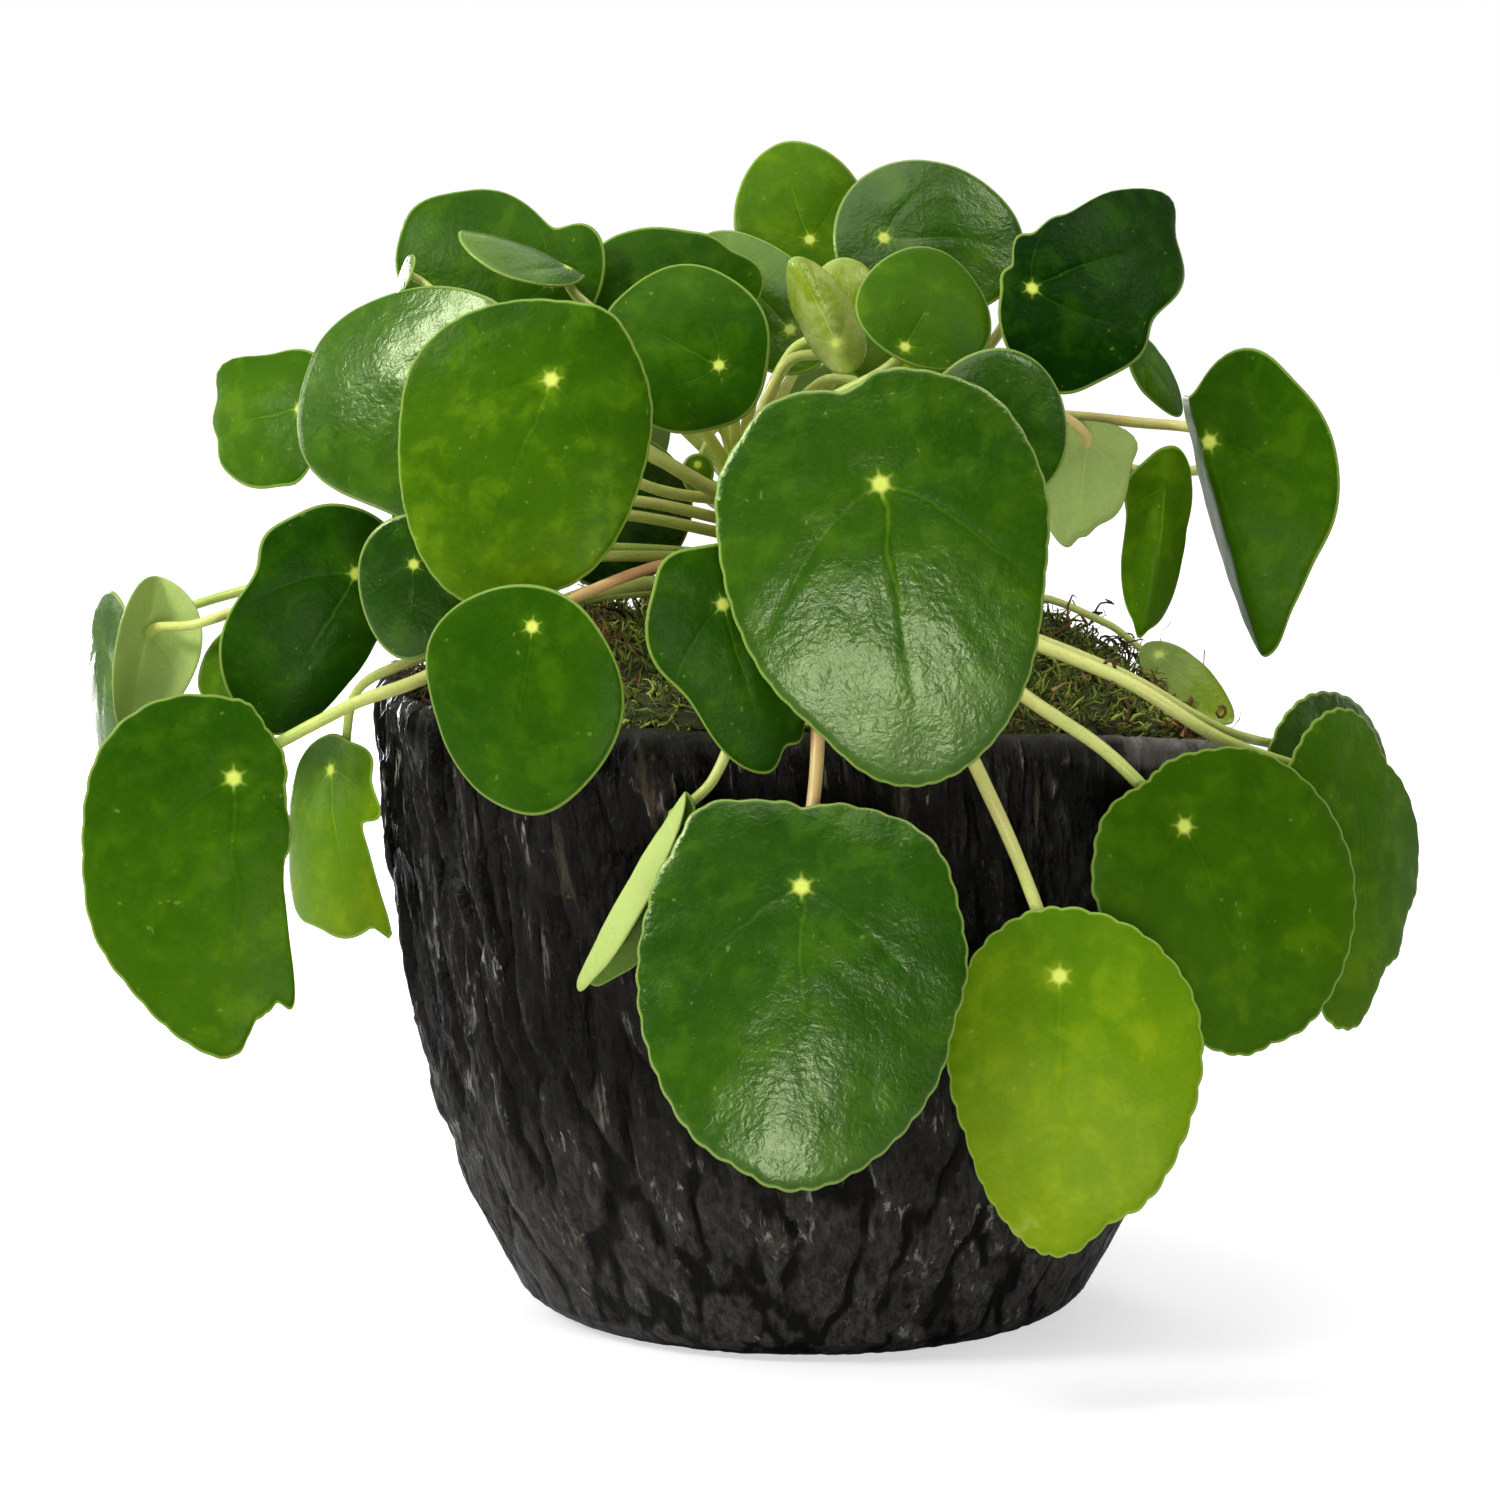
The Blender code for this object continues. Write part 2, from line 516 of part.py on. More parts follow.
def moss_solid():
    """Return the mound of moss: a lumpy ring on the soil about a plain hole for the trunk."""
    turn = np.arange(MOSS_SEGMENTS) * 2.0 * math.pi / MOSS_SEGMENTS
    foot = SOIL_TOP + GAP
    outer = pot_radius(133.0) - POT_WALL - 1.5 * GAP
    centre = np.array((TRUNK[1][0], TRUNK[1][1]))
    rows = []

    def row(radius, share, height):
        x = radius * np.cos(turn) + centre[0] * (1.0 - share)
        y = radius * np.sin(turn) + centre[1] * (1.0 - share)
        rows.append(np.stack((x, y, np.broadcast_to(height, turn.shape)), 1))

    row(TRUNK_HOLE, 0.0, foot)
    row(outer - 1.0, 1.0, foot)
    for share in (1.0, 0.9, 0.75, 0.55, 0.33):
        radius = TRUNK_HOLE + (outer - 1.0 - TRUNK_HOLE) * share
        below = 6.0 * moss_share(radius, turn) if share == 1.0 else 0.0
        row(radius, share, foot + moss_height(radius, turn) - below)
    row(TRUNK_HOLE + 2.5, 0.0, foot + 22.0)
    row(TRUNK_HOLE + 1.0, 0.0, foot + 14.0)
    count = MOSS_SEGMENTS
    points = np.concatenate(rows)
    faces = []
    for i in range(len(rows)):
        after = (i + 1) % len(rows)
        for k in range(count):
            here = i * count + k
            beside = i * count + (k + 1) % count
            over = after * count + k
            across = after * count + (k + 1) % count
            faces += [(here, beside, across), (here, across, over)]
    return points, faces


def trunk_solid():
    """Return the trunk as a closed, slightly uneven tube."""
    knots = np.array(TRUNK)
    path = smooth_path(knots[:, :3], 2)
    radii = np.interp(np.linspace(0.0, 1.0, len(path)), np.linspace(0.0, 1.0, len(knots)), knots[:, 3])
    radii = radii * (1.0 + 0.05 * np.cos(np.arange(len(path)) * 2.4))
    return tube_solid(path, radii, 10)


def add_object(name, solid, material, smooth=True):
    """Make one object from points in millimetres and faces, with its own material."""
    points, faces = solid
    mesh = bpy.data.meshes.new(name)
    mesh.from_pydata([tuple(p) for p in np.asarray(points) * MM], [], [tuple(f) for f in faces])
    bm = bmesh.new()
    bm.from_mesh(mesh)
    bmesh.ops.recalc_face_normals(bm, faces=bm.faces)
    bm.to_mesh(mesh)
    bm.free()
    mesh.update()
    if smooth:
        mesh.polygons.foreach_set("use_smooth", [True] * len(mesh.polygons))
    thing = bpy.data.objects.new(name, mesh)
    bpy.context.scene.collection.objects.link(thing)
    if material is not None:
        mesh.materials.append(material)
    return thing


def make_material(name, color, roughness):
    """Make a plain material from a linear colour and a roughness."""
    material = bpy.data.materials.new(name)
    material.use_nodes = True
    shader = material.node_tree.nodes["Principled BSDF"]
    shader.inputs["Base Color"].default_value = (*color, 1.0)
    shader.inputs["Roughness"].default_value = roughness
    shader.inputs["Metallic"].default_value = 0.0
    return material


def add_stem(material):
    """Make the trunk and join every leaf stalk to it as one grown body."""
    trunk = add_object("stem_and_petioles", trunk_solid(), material)
    stalks = bpy.data.collections.new("stalks")
    bpy.context.scene.collection.children.link(stalks)
    for leaf in LEAVES:
        stalk = add_object("stalk_" + leaf.name, stalk_solid(leaf), None)
        bpy.context.scene.collection.objects.unlink(stalk)
        stalks.objects.link(stalk)
    join = trunk.modifiers.new("join stalks", "BOOLEAN")
    join.operation = "UNION"
    join.operand_type = "COLLECTION"
    join.collection = stalks
    join.solver = "MANIFOLD"
    graph = bpy.context.evaluated_depsgraph_get()
    joined = bpy.data.meshes.new_from_object(trunk.evaluated_get(graph))
    trunk.modifiers.remove(join)
    trunk.data = joined
    for stalk in list(stalks.objects):
        bpy.data.objects.remove(stalk)
    bpy.data.collections.remove(stalks)
    return trunk


def main():
    """Build the whole plant in its pot."""
    for old in list(bpy.data.objects):
        bpy.data.objects.remove(old)
    add_object("pot", pot_solid(), make_material("pot", (0.012, 0.012, 0.010), 0.35))
    add_object("potting_soil", soil_solid(), make_material("potting_soil", (0.03, 0.018, 0.01), 0.95))
    add_object("moss", moss_solid(), make_material("moss", (0.10, 0.14, 0.02), 0.9))
    add_stem(make_material("stem_and_petioles", (0.42, 0.44, 0.16), 0.45))
    for leaf in LEAVES:
        color = OTHER_GREENS.get(leaf.name, LEAF_GREEN)
        add_object(leaf.name, blade_solid(leaf), make_material(leaf.name, color, 0.35))


if __name__ == "__main__":
    main()
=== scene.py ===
"""Visual model of a pilea in a bark-textured pot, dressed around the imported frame.

The tables are in millimetres and degrees. The front of the plant faces -Y and the pot stands on
Z = 0, as in the frame.
"""

import json
import logging
import math
from dataclasses import dataclass, field
from enum import Enum
from typing import Any, Iterable, NamedTuple, Optional, Sequence, Union

import bpy
import numpy as np
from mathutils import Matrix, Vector, noise

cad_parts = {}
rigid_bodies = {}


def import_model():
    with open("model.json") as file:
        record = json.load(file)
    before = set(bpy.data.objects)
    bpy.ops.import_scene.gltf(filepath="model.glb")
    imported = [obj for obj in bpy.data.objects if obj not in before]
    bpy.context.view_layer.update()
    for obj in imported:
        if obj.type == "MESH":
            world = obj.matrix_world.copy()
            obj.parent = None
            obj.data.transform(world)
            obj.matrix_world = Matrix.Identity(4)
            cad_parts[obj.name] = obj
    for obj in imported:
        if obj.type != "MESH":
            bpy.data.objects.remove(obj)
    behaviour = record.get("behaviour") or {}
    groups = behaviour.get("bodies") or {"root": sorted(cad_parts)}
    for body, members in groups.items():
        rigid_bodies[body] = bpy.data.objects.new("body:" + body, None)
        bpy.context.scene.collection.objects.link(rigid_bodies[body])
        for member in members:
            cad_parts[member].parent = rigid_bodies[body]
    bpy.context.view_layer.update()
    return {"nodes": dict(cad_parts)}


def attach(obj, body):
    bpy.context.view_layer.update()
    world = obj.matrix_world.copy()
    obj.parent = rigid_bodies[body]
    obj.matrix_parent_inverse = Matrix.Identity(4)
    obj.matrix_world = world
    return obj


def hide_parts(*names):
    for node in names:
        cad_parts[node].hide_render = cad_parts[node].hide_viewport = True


for leftover in list(bpy.data.objects):
    bpy.data.objects.remove(leftover)
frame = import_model()

LOG = logging.getLogger("pilea")
MM = 0.001
# How far the bark turns as it rises, in radians for each metre.
SLANT = 1.4
# How high a plain stalk arches, in millimetres.
STALK_LIFT = 10.0
# Height of the pot, and where the dip of its rim starts.
POT_HEIGHT = 141.0
DIP_START = 100.0
# Length of blade that the veins are drawn for.
PATTERN_LENGTH = 80.0
# How the side veins arch: how much they bend and how much they lean.
ARCH_BEND = 0.02
ARCH_LEAN = 0.42
# Six rays about the dot, counted for each radian.
RAY_RATE = 0.9549
FULL_TURN = 6.283
Socket = bpy.types.NodeSocket
Node = bpy.types.Node
Piece = bpy.types.Object
Material = bpy.types.Material
Triple = tuple[float, float, float]
Pair = tuple[float, float]
Value = Union[float, int, Sequence[float], Socket, None]


class Wiring:
    """Adds nodes to a tree and joins them, for materials and for geometry alike."""

    def __init__(self, tree: bpy.types.NodeTree) -> None:
        """Keep the tree that the nodes go into."""
        self.tree = tree

    def feed(self, socket: Socket, value: Value) -> None:
        """Give an input a fixed value or a link.

        Args:
            socket: the input.
            value: a number, a colour or vector, an output to link, or None to leave it.
        """
        if isinstance(value, Socket):
            self.tree.links.new(value, socket)
        elif value is not None:
            socket.default_value = value

    def add(self, kind: str, feeds: Optional[dict] = None, **settings: Any) -> Node:
        """Add one node.

        Args:
            kind: the node's type name.
            feeds: values by input name or index.
            **settings: properties of the node itself.

        Returns:
            The new node.
        """
        node = self.tree.nodes.new(kind)
        for key, value in settings.items():
            setattr(node, key, value)
        for key, value in (feeds or {}).items():
            self.feed(node.inputs[key], value)
        return node

    def calc(self, operation: str, a: Value, b: Value = None, c: Value = None) -> Socket:
        """Return the result of a sum on one to three numbers."""
        return self.add("ShaderNodeMath", {0: a, 1: b, 2: c}, operation=operation).outputs[0]

    def times(self, a: Value, b: Value) -> Socket:
        """Return the product of two numbers."""
        return self.calc("MULTIPLY", a, b)

    def plus(self, a: Value, b: Value) -> Socket:
        """Return two numbers added up."""
        return self.calc("ADD", a, b)

    def minus(self, a: Value, b: Value) -> Socket:
        """Return the first number less the second."""
        return self.calc("SUBTRACT", a, b)

    def rest(self, share: Value) -> Socket:
        """Return what a share leaves of 1."""
        return self.calc("SUBTRACT", 1.0, share)

    def raised(self, level: Value, value: Value, share: Value) -> Socket:
        """Return a level with a share of a value added."""
        return self.calc("ADD", level, self.calc("MULTIPLY", value, share))

    def attribute(self, key: str) -> Socket:
        """Return a number attribute of the mesh, for a material."""
        return self.add("ShaderNodeAttribute", attribute_name=key).outputs["Fac"]

    def place(self) -> Socket:
        """Return the place on the object, for a material."""
        return self.add("ShaderNodeTexCoord").outputs["Object"]

    def parts(self, vector: Value) -> Any:
        """Return the three numbers of a vector."""
        return self.add("ShaderNodeSeparateXYZ", {0: vector}).outputs

    def joined(self, x: Value = None, y: Value = None, z: Value = None) -> Socket:
        """Return a vector made of three numbers."""
        return self.add("ShaderNodeCombineXYZ", {0: x, 1: y, 2: z}).outputs[0]

    def scaled(self, vector: Value, scale: Value) -> Socket:
        """Return a vector made longer or shorter."""
        return self.vector("SCALE", vector, scale=scale).outputs[0]

    def drift(self, scale: float, detail: float, place: Value = None) -> Socket:
        """Return a random vector about zero that changes smoothly."""
        node = self.add("ShaderNodeTexNoise", {"Vector": place, "Scale": scale, "Detail": detail})
        return self.vector("SUBTRACT", node.outputs[1], (0.5, 0.5, 0.5)).outputs[0]

    def slanted(self, place: Value, height: Value) -> Socket:
        """Return a place turned about the pot's axis, the further the higher it is."""
        feeds = {0: place, 3: self.times(height, SLANT)}
        return self.add("ShaderNodeVectorRotate", feeds, rotation_type="Z_AXIS").outputs[0]

    def drawn_out(self, place: Value, share: float) -> Socket:
        """Return a place whose height counts for only a share, so that patterns are drawn out upwards."""
        return self.add("ShaderNodeMapping", {"Vector": place, "Scale": (1.0, 1.0, share)}).outputs[0]

    def vector(self, operation: str, a: Value, b: Value = None, scale: Value = None) -> Node:
        """Return a node that works on vectors."""
        return self.add("ShaderNodeVectorMath", {0: a, 1: b, 3: scale}, operation=operation)

    def step(self, value: Value, low: float, high: float) -> Socket:
        """Return a soft step that is 0 at low and 1 at high."""
        feeds = {0: value, 1: low, 2: high, 3: 0.0, 4: 1.0}
        return self.add("ShaderNodeMapRange", feeds, interpolation_type="SMOOTHSTEP").outputs[0]

    def speckle(self, place: Value, scale: Value, detail: float = 2.0, rough: float = 0.5,
                twist: float = 0.0) -> Socket:
        """Return smooth noise from 0 to 1."""
        feeds = {"Vector": place, "Scale": scale, "Detail": detail, "Roughness": rough, "Distortion": twist}
        return self.add("ShaderNodeTexNoise", feeds).outputs[0]

    def ripple(self, place: Value, scale: Value, detail: float = 2.0, rough: float = 0.5) -> Socket:
        """Return smooth noise about 0, with arguments as for speckle."""
        return self.calc("SUBTRACT", self.speckle(place, scale, detail, rough), 0.5)

    def blend(self, share: Value, a: Value, b: Value) -> Socket:
        """Return a colour between two colours."""
        a, b = ((*tone, 1.0) if isinstance(tone, tuple) else tone for tone in (a, b))
        return self.add("ShaderNodeMix", {0: share, 6: a, 7: b}, data_type="RGBA").outputs[2]

    def scale_of(self, value: Value, stops: Sequence[tuple[float, Triple]]) -> Socket:
        """Return a colour read from a row of colours.

        Args:
            value: where to read, from 0 to 1.
            stops: places and linear colours.

        Returns:
            The output with the colour.
        """
        ramp = self.add("ShaderNodeValToRGB", {0: value})
        band = ramp.color_ramp
        while len(band.elements) < len(stops):
            band.elements.new(1.0)
        for element, (place, color) in zip(band.elements, stops):
            element.position = place
            element.color = (*color, 1.0)
        return ramp.outputs[0]


@dataclass(frozen=True)
class Finish:
    """A surface finish that turns into one material."""

    name: str
    roughness: float = 0.5
    specular: float = 0.5
    sheen_tone: Triple = (1.0, 1.0, 1.0)

    def material(self) -> Material:
        """Make this finish as a node material, or find it where it is made already.

        Returns:
            The material.
        """
        made = bpy.data.materials.get(self.name)
        if made is not None:
            return made
        made = bpy.data.materials.new(self.name)
        made.use_nodes = True
        shader = made.node_tree.nodes["Principled BSDF"]
        shader.inputs["Roughness"].default_value = self.roughness
        shader.inputs["Specular IOR Level"].default_value = self.specular
        shader.inputs["Specular Tint"].default_value = (*self.sheen_tone, 1.0)
        self.wire(Wiring(made.node_tree), shader)
        return made

    def wire(self, w: Wiring, shader: Node) -> None:
        """Join the pattern of this finish to its shader.

        Args:
            w: helper for the material's tree.
            shader: the surface shader.
        """

    def relief(self, w: Wiring, shader: Node, height: Value, distance: float) -> None:
        """Join a height pattern to the shader as fine relief."""
        bump = w.add("ShaderNodeBump", {"Height": height, "Distance": distance, "Strength": 1.0})
        w.feed(shader.inputs["Normal"], bump.outputs[0])


@dataclass(frozen=True)
class LeafFinish(Finish):
    """Waxy green blade with a pale dot, star, veins, mottling, a thin pale edge and a little painted shade
    along the vein grooves.
    """

    greens: tuple = (
        (0.0, (0.002, 0.022, 0.0003)),
        (0.2, (0.017, 0.070, 0.0006)),
        (0.4, (0.047, 0.128, 0.0015)),
        (0.6, (0.106, 0.212, 0.003)),
        (0.8, (0.205, 0.300, 0.006)),
        (1.0, (0.400, 0.480, 0.110)),
    )
    pale: Triple = (0.62, 0.72, 0.12)
    edge: Triple = (0.32, 0.46, 0.08)
    under: Triple = (0.20, 0.31, 0.08)
    bleached: Triple = (0.62, 0.74, 0.20)

    def wire(self, w: Wiring, shader: Node) -> None:
        """Join the pattern of a blade to its shader.

        Args:
            w: helper for the material's tree.
            shader: the surface shader.
        """
        place = w.place()
        blade = w.add("ShaderNodeAttribute", attribute_name="blade").outputs["Vector"]
        green, rim, dot, light, mottle, veined = (
            w.attribute(key) for key in ("green", "rim", "dot_size", "light_under", "mottle", "veins"))
        u, v, upper = w.parts(blade)
        wobble = w.times(w.ripple(place, 90.0, 3.0), 5.0)
        v_off = w.plus(v, wobble)
        reach = w.calc("SQRT", w.plus(w.times(u, u), w.times(v, v)))
        fade = w.rest(w.step(reach, 14.0, 46.0))

        # Midrib, then the two side veins that arch towards the tip.
        ahead = w.step(u, 0.0, 2.0)
        across = w.calc("ABSOLUTE", v_off)
        midrib = w.times(w.rest(w.step(across, 0.1, 0.75)), ahead)
        crease = w.times(w.rest(w.step(across, 0.2, 2.4)), ahead)
        arch = w.plus(w.times(w.times(across, across), ARCH_BEND), w.times(across, ARCH_LEAN))
        off_arch = w.calc("ABSOLUTE", w.minus(u, arch))
        outside = w.step(across, 1.0, 3.0)
        side_vein = w.times(w.rest(w.step(off_arch, 0.1, 0.8)), outside)
        side_crease = w.times(w.rest(w.step(off_arch, 0.2, 2.4)), outside)
        vein = w.times(w.calc("MAXIMUM", midrib, w.times(side_vein, 0.6)), w.times(fade, veined))
        groove = w.times(w.calc("MAXIMUM", crease, w.times(side_crease, 0.7)), fade)

        # Short rays around the dot.
        turn = w.calc("ARCTAN2", v, u)
        rays = w.calc("ABSOLUTE", w.minus(w.calc("FRACT", w.times(turn, RAY_RATE)), 0.5))
        off_ray = w.times(w.minus(0.5, rays), reach)
        ray = w.rest(w.step(off_ray, 0.1, 0.55))
        size = w.calc("DIVIDE", reach, dot)
        star = w.times(ray, w.rest(w.step(size, 0.7, 1.9)))
        heart = w.rest(w.step(size, 0.45, 1.1))
        halo = w.rest(w.step(size, 0.8, 2.4))

        # Mottling moves the green up and down its scale.
        blotch = w.step(w.speckle(place, 130.0, 3.0, 0.55, 0.3), 0.44, 0.70)
        cloud = w.ripple(place, 45.0, 2.0)
        grain = w.ripple(place, 900.0, 3.0, 0.65)
        level = w.plus(w.times(blotch, 0.14), w.times(cloud, 0.30))
        level = w.raised(green, level, mottle)
        level = w.raised(level, grain, 0.16)
        level = w.raised(level, vein, 0.22)
        # Painted shade: the green is lowered a little along the vein grooves.
        level = w.minus(level, w.times(groove, 0.05))
        level = w.raised(level, halo, 0.18)
        color = w.scale_of(w.times(level, 0.8), self.greens)
        fleck = w.step(w.speckle(place, 520.0, 1.0, 0.4), 0.74, 0.80)
        color = w.blend(w.times(fleck, 0.22), color, self.edge)
        color = w.blend(w.times(star, 0.35), color, self.pale)
        color = w.blend(heart, color, self.pale)
        lining = w.rest(w.step(rim, 0.1, 0.6))
        color = w.blend(w.times(lining, 0.6), color, self.edge)
        below = w.blend(light, self.under, self.bleached)
        below = w.blend(w.times(vein, 0.35), below, self.pale)
        shade = w.times(w.plus(grain, cloud), w.calc("MULTIPLY_ADD", light, -0.6, 0.8))
        below = w.blend(shade, below, (0.10, 0.19, 0.03))
        top_side = w.step(upper, 0.3, 0.7)
        w.feed(shader.inputs["Base Color"], w.blend(top_side, below, color))
        gloss = w.plus(self.roughness, w.times(w.speckle(place, 260.0, 3.0), 0.12))
        gloss = w.plus(gloss, w.times(w.rest(top_side), 0.36))
        w.feed(shader.inputs["Roughness"], gloss)
        wrinkle = w.calc("ABSOLUTE", w.minus(w.speckle(place, 380.0, 3.0, 0.5, 0.3), 0.5))
        pucker = w.speckle(place, 900.0, 2.0, 0.5)
        height = w.raised(wrinkle, pucker, 0.22)
        height = w.minus(height, w.times(groove, 0.14))
        height = w.raised(height, vein, 0.08)
        self.relief(w, shader, height, 0.00024)


@dataclass(frozen=True)
class StalkFinish(Finish):
    """Smooth pale stalk that runs from yellow-green to a pinkish brown by its blush attribute."""

    shades: tuple = (
        (0.0, (0.40, 0.54, 0.07)),
        (0.35, (0.66, 0.70, 0.20)),
        (0.7, (0.64, 0.46, 0.17)),
        (1.0, (0.60, 0.29, 0.13)),
    )

    def wire(self, w: Wiring, shader: Node) -> None:
        """Join the pattern of a stalk to its shader.

        Args:
            w: helper for the material's tree.
            shader: the surface shader.
        """
        place = w.place()
        blush = w.attribute("blush")
        cloud = w.ripple(place, 120.0, 3.0)
        level = w.raised(blush, cloud, 0.5)
        grain = w.speckle(place, 1600.0, 2.0)
        color = w.blend(w.times(w.step(grain, 0.52, 0.75), 0.25), w.scale_of(level, self.shades),
                        (0.22, 0.20, 0.05))
        w.feed(shader.inputs["Base Color"], color)
        self.relief(w, shader, w.speckle(place, 700.0, 2.0), 0.00012)


@dataclass(frozen=True)
class TrunkFinish(Finish):
    """Woody trunk, brown with green where it is young."""

    def wire(self, w: Wiring, shader: Node) -> None:
        """Join the pattern of the trunk to its shader.

        Args:
            w: helper for the material's tree.
            shader: the surface shader.
        """
        place = w.place()
        height = w.parts(place)[2]
        young = w.step(height, 0.150, 0.185)
        mottle = w.speckle(place, 240.0, 4.0, 0.6)
        wood = w.scale_of(mottle, ((0.3, (0.045, 0.026, 0.012)), (0.7, (0.19, 0.13, 0.06))))
        fresh = w.scale_of(mottle, ((0.3, (0.09, 0.12, 0.02)), (0.7, (0.26, 0.30, 0.08))))
        w.feed(shader.inputs["Base Color"], w.blend(young, wood, fresh))
        self.relief(w, shader, w.speckle(place, 480.0, 4.0, 0.6), 0.0008)


@dataclass(frozen=True)
class BarkFinish(Finish):
    """Near-black satin bark with grey wear on the ridge tops, brown and olive flecks, painted shade in the
    grooves, painted glint streaks, a lighter foot and a painted highlight on the lip where the rim dips.
    """

    def wire(self, w: Wiring, shader: Node) -> None:
        """Join the pattern of the bark to its shader.

        Args:
            w: helper for the material's tree.
            shader: the surface shader.
        """
        place = w.place()
        ridge = w.attribute("ridge")
        lip = w.attribute("lip")
        split = w.parts(place)
        turned = w.slanted(place, split[2])
        drawn = w.drawn_out(turned, 0.11)
        fibre = w.speckle(drawn, 420.0, 5.0, 0.68, 0.2)
        strand = w.speckle(drawn, 190.0, 3.0, 0.6, 0.3)
        patch = w.speckle(drawn, 60.0, 3.0)
        plate = w.step(w.speckle(drawn, 85.0, 2.0, 0.5, 0.2), 0.42, 0.58)
        color = w.scale_of(fibre, ((0.36, (0.0008, 0.0008, 0.0006)), (0.62, (0.0065, 0.006, 0.0045))))
        warm = w.scale_of(patch, ((0.36, (0.030, 0.031, 0.027)), (0.50, (0.050, 0.042, 0.024)),
                                  (0.62, (0.075, 0.054, 0.034))))
        pale_crest = w.times(w.step(ridge, 0.60, 0.98), w.step(fibre, 0.42, 0.62))
        pale_crest = w.times(pale_crest, w.calc("MULTIPLY_ADD", plate, 0.8, 0.2))
        color = w.blend(pale_crest, color, warm)
        # Painted highlight: thin pale streaks where fibres and strands run high, standing in for glints on
        # the glossy bark.
        painted_glint_streak = w.times(w.step(fibre, 0.56, 0.64), w.step(strand, 0.47, 0.58))
        painted_glint_streak = w.times(painted_glint_streak, w.calc("MULTIPLY_ADD", plate, 0.6, 0.25))
        color = w.blend(painted_glint_streak, color, (0.360, 0.340, 0.290))
        brown = w.step(w.speckle(place, 260.0, 3.0, 0.6), 0.66, 0.73)
        color = w.blend(w.times(brown, 0.6), color, (0.120, 0.062, 0.034))
        # The colour is lighter and mottled towards the foot.
        foot = w.rest(w.step(split[2], 0.005, 0.075))
        short = w.drawn_out(turned, 0.4)
        foot_mottle = w.step(w.speckle(short, 520.0, 5.0, 0.75, 0.3), 0.34, 0.70)
        foot = w.times(foot, w.calc("MULTIPLY_ADD", foot_mottle, 0.60, 0.08))
        color = w.blend(foot, color, (0.105, 0.100, 0.088))
        # Painted shade: the bark is painted near-black where the ridge attribute is low, down between the
        # ridges, and along dark strands.
        groove = w.times(w.step(ridge, 0.20, 0.62), w.step(strand, 0.30, 0.42))
        color = w.blend(groove, (0.0006, 0.0006, 0.0005), color)
        # The lip is grey-olive. Where the lip mark passes 1, on the dipped part of the rim, it gets a pale
        # painted highlight for the lit top of the rounded lip.
        lip_tone_and_highlight = w.blend(w.speckle(place, 150.0, 4.0, 0.65), (0.006, 0.006, 0.005), (0.058, 0.057, 0.045))
        lip_tone_and_highlight = w.blend(w.times(w.step(lip, 1.0, 2.0), 0.85), lip_tone_and_highlight, (0.30, 0.28, 0.26))
        color = w.blend(w.times(w.calc("MINIMUM", lip, 1.0), 0.8), color, lip_tone_and_highlight)
        w.feed(shader.inputs["Base Color"], color)
        gloss = w.plus(self.roughness, w.times(w.speckle(place, 130.0, 3.0), 0.35))
        w.feed(shader.inputs["Roughness"], gloss)
        crumb = w.speckle(place, 900.0, 3.0, 0.6)
        height = w.plus(w.raised(fibre, strand, 0.8), w.times(crumb, 0.1))
        self.relief(w, shader, height, 0.0013)


@dataclass(frozen=True)
class MossFinish(Finish):
    """Soft moss or root fibre, tinted from strand to strand."""

    tints: tuple = ((0.0, (0.02, 0.03, 0.004)), (1.0, (0.30, 0.34, 0.04)))

    def wire(self, w: Wiring, shader: Node) -> None:
        """Join the pattern of the strands to their shader.

        Args:
            w: helper for the material's tree.
            shader: the surface shader.
        """
        place = w.place()
        tint = w.attribute("tint")
        cloud = w.ripple(place, 60.0, 3.0)
        level = w.raised(tint, cloud, 0.7)
        w.feed(shader.inputs["Base Color"], w.scale_of(level, self.tints))
        self.relief(w, shader, w.speckle(place, 1500.0, 2.0), 0.0002)


@dataclass(frozen=True)
class SoilFinish(Finish):
    """Dark damp crumbs of soil."""

    def wire(self, w: Wiring, shader: Node) -> None:
        """Join the pattern of the soil to its shader.

        Args:
            w: helper for the material's tree.
            shader: the surface shader.
        """
        place = w.place()
        crumb = w.speckle(place, 330.0, 6.0, 0.7)
        color = w.scale_of(crumb, ((0.35, (0.008, 0.005, 0.003)), (0.65, (0.055, 0.032, 0.018))))
        w.feed(shader.inputs["Base Color"], color)
        self.relief(w, shader, crumb, 0.0025)


@dataclass(frozen=True)
class FloorFinish(Finish):
    """Plain pale studio floor."""

    tone: Triple = (0.60, 0.60, 0.60)
    glow: Pair = (0.60, 1.0)

    def wire(self, w: Wiring, shader: Node) -> None:
        """Give the floor its plain tone.

        Args:
            w: helper for the material's tree.
            shader: the surface shader.
        """
        shader.inputs["Base Color"].default_value = (*self.tone, 1.0)
        shader.inputs["Emission Color"].default_value = (1.0, 1.0, 1.0, 1.0)
        seen = w.add("ShaderNodeLightPath").outputs["Is Camera Ray"]
        place = w.place()
        away = w.step(w.vector("LENGTH", place).outputs[1], 0.15, 1.1)
        near, far = self.glow
        glow = w.calc("MULTIPLY_ADD", away, far - near, near)
        w.feed(shader.inputs["Emission Strength"], w.times(seen, glow))


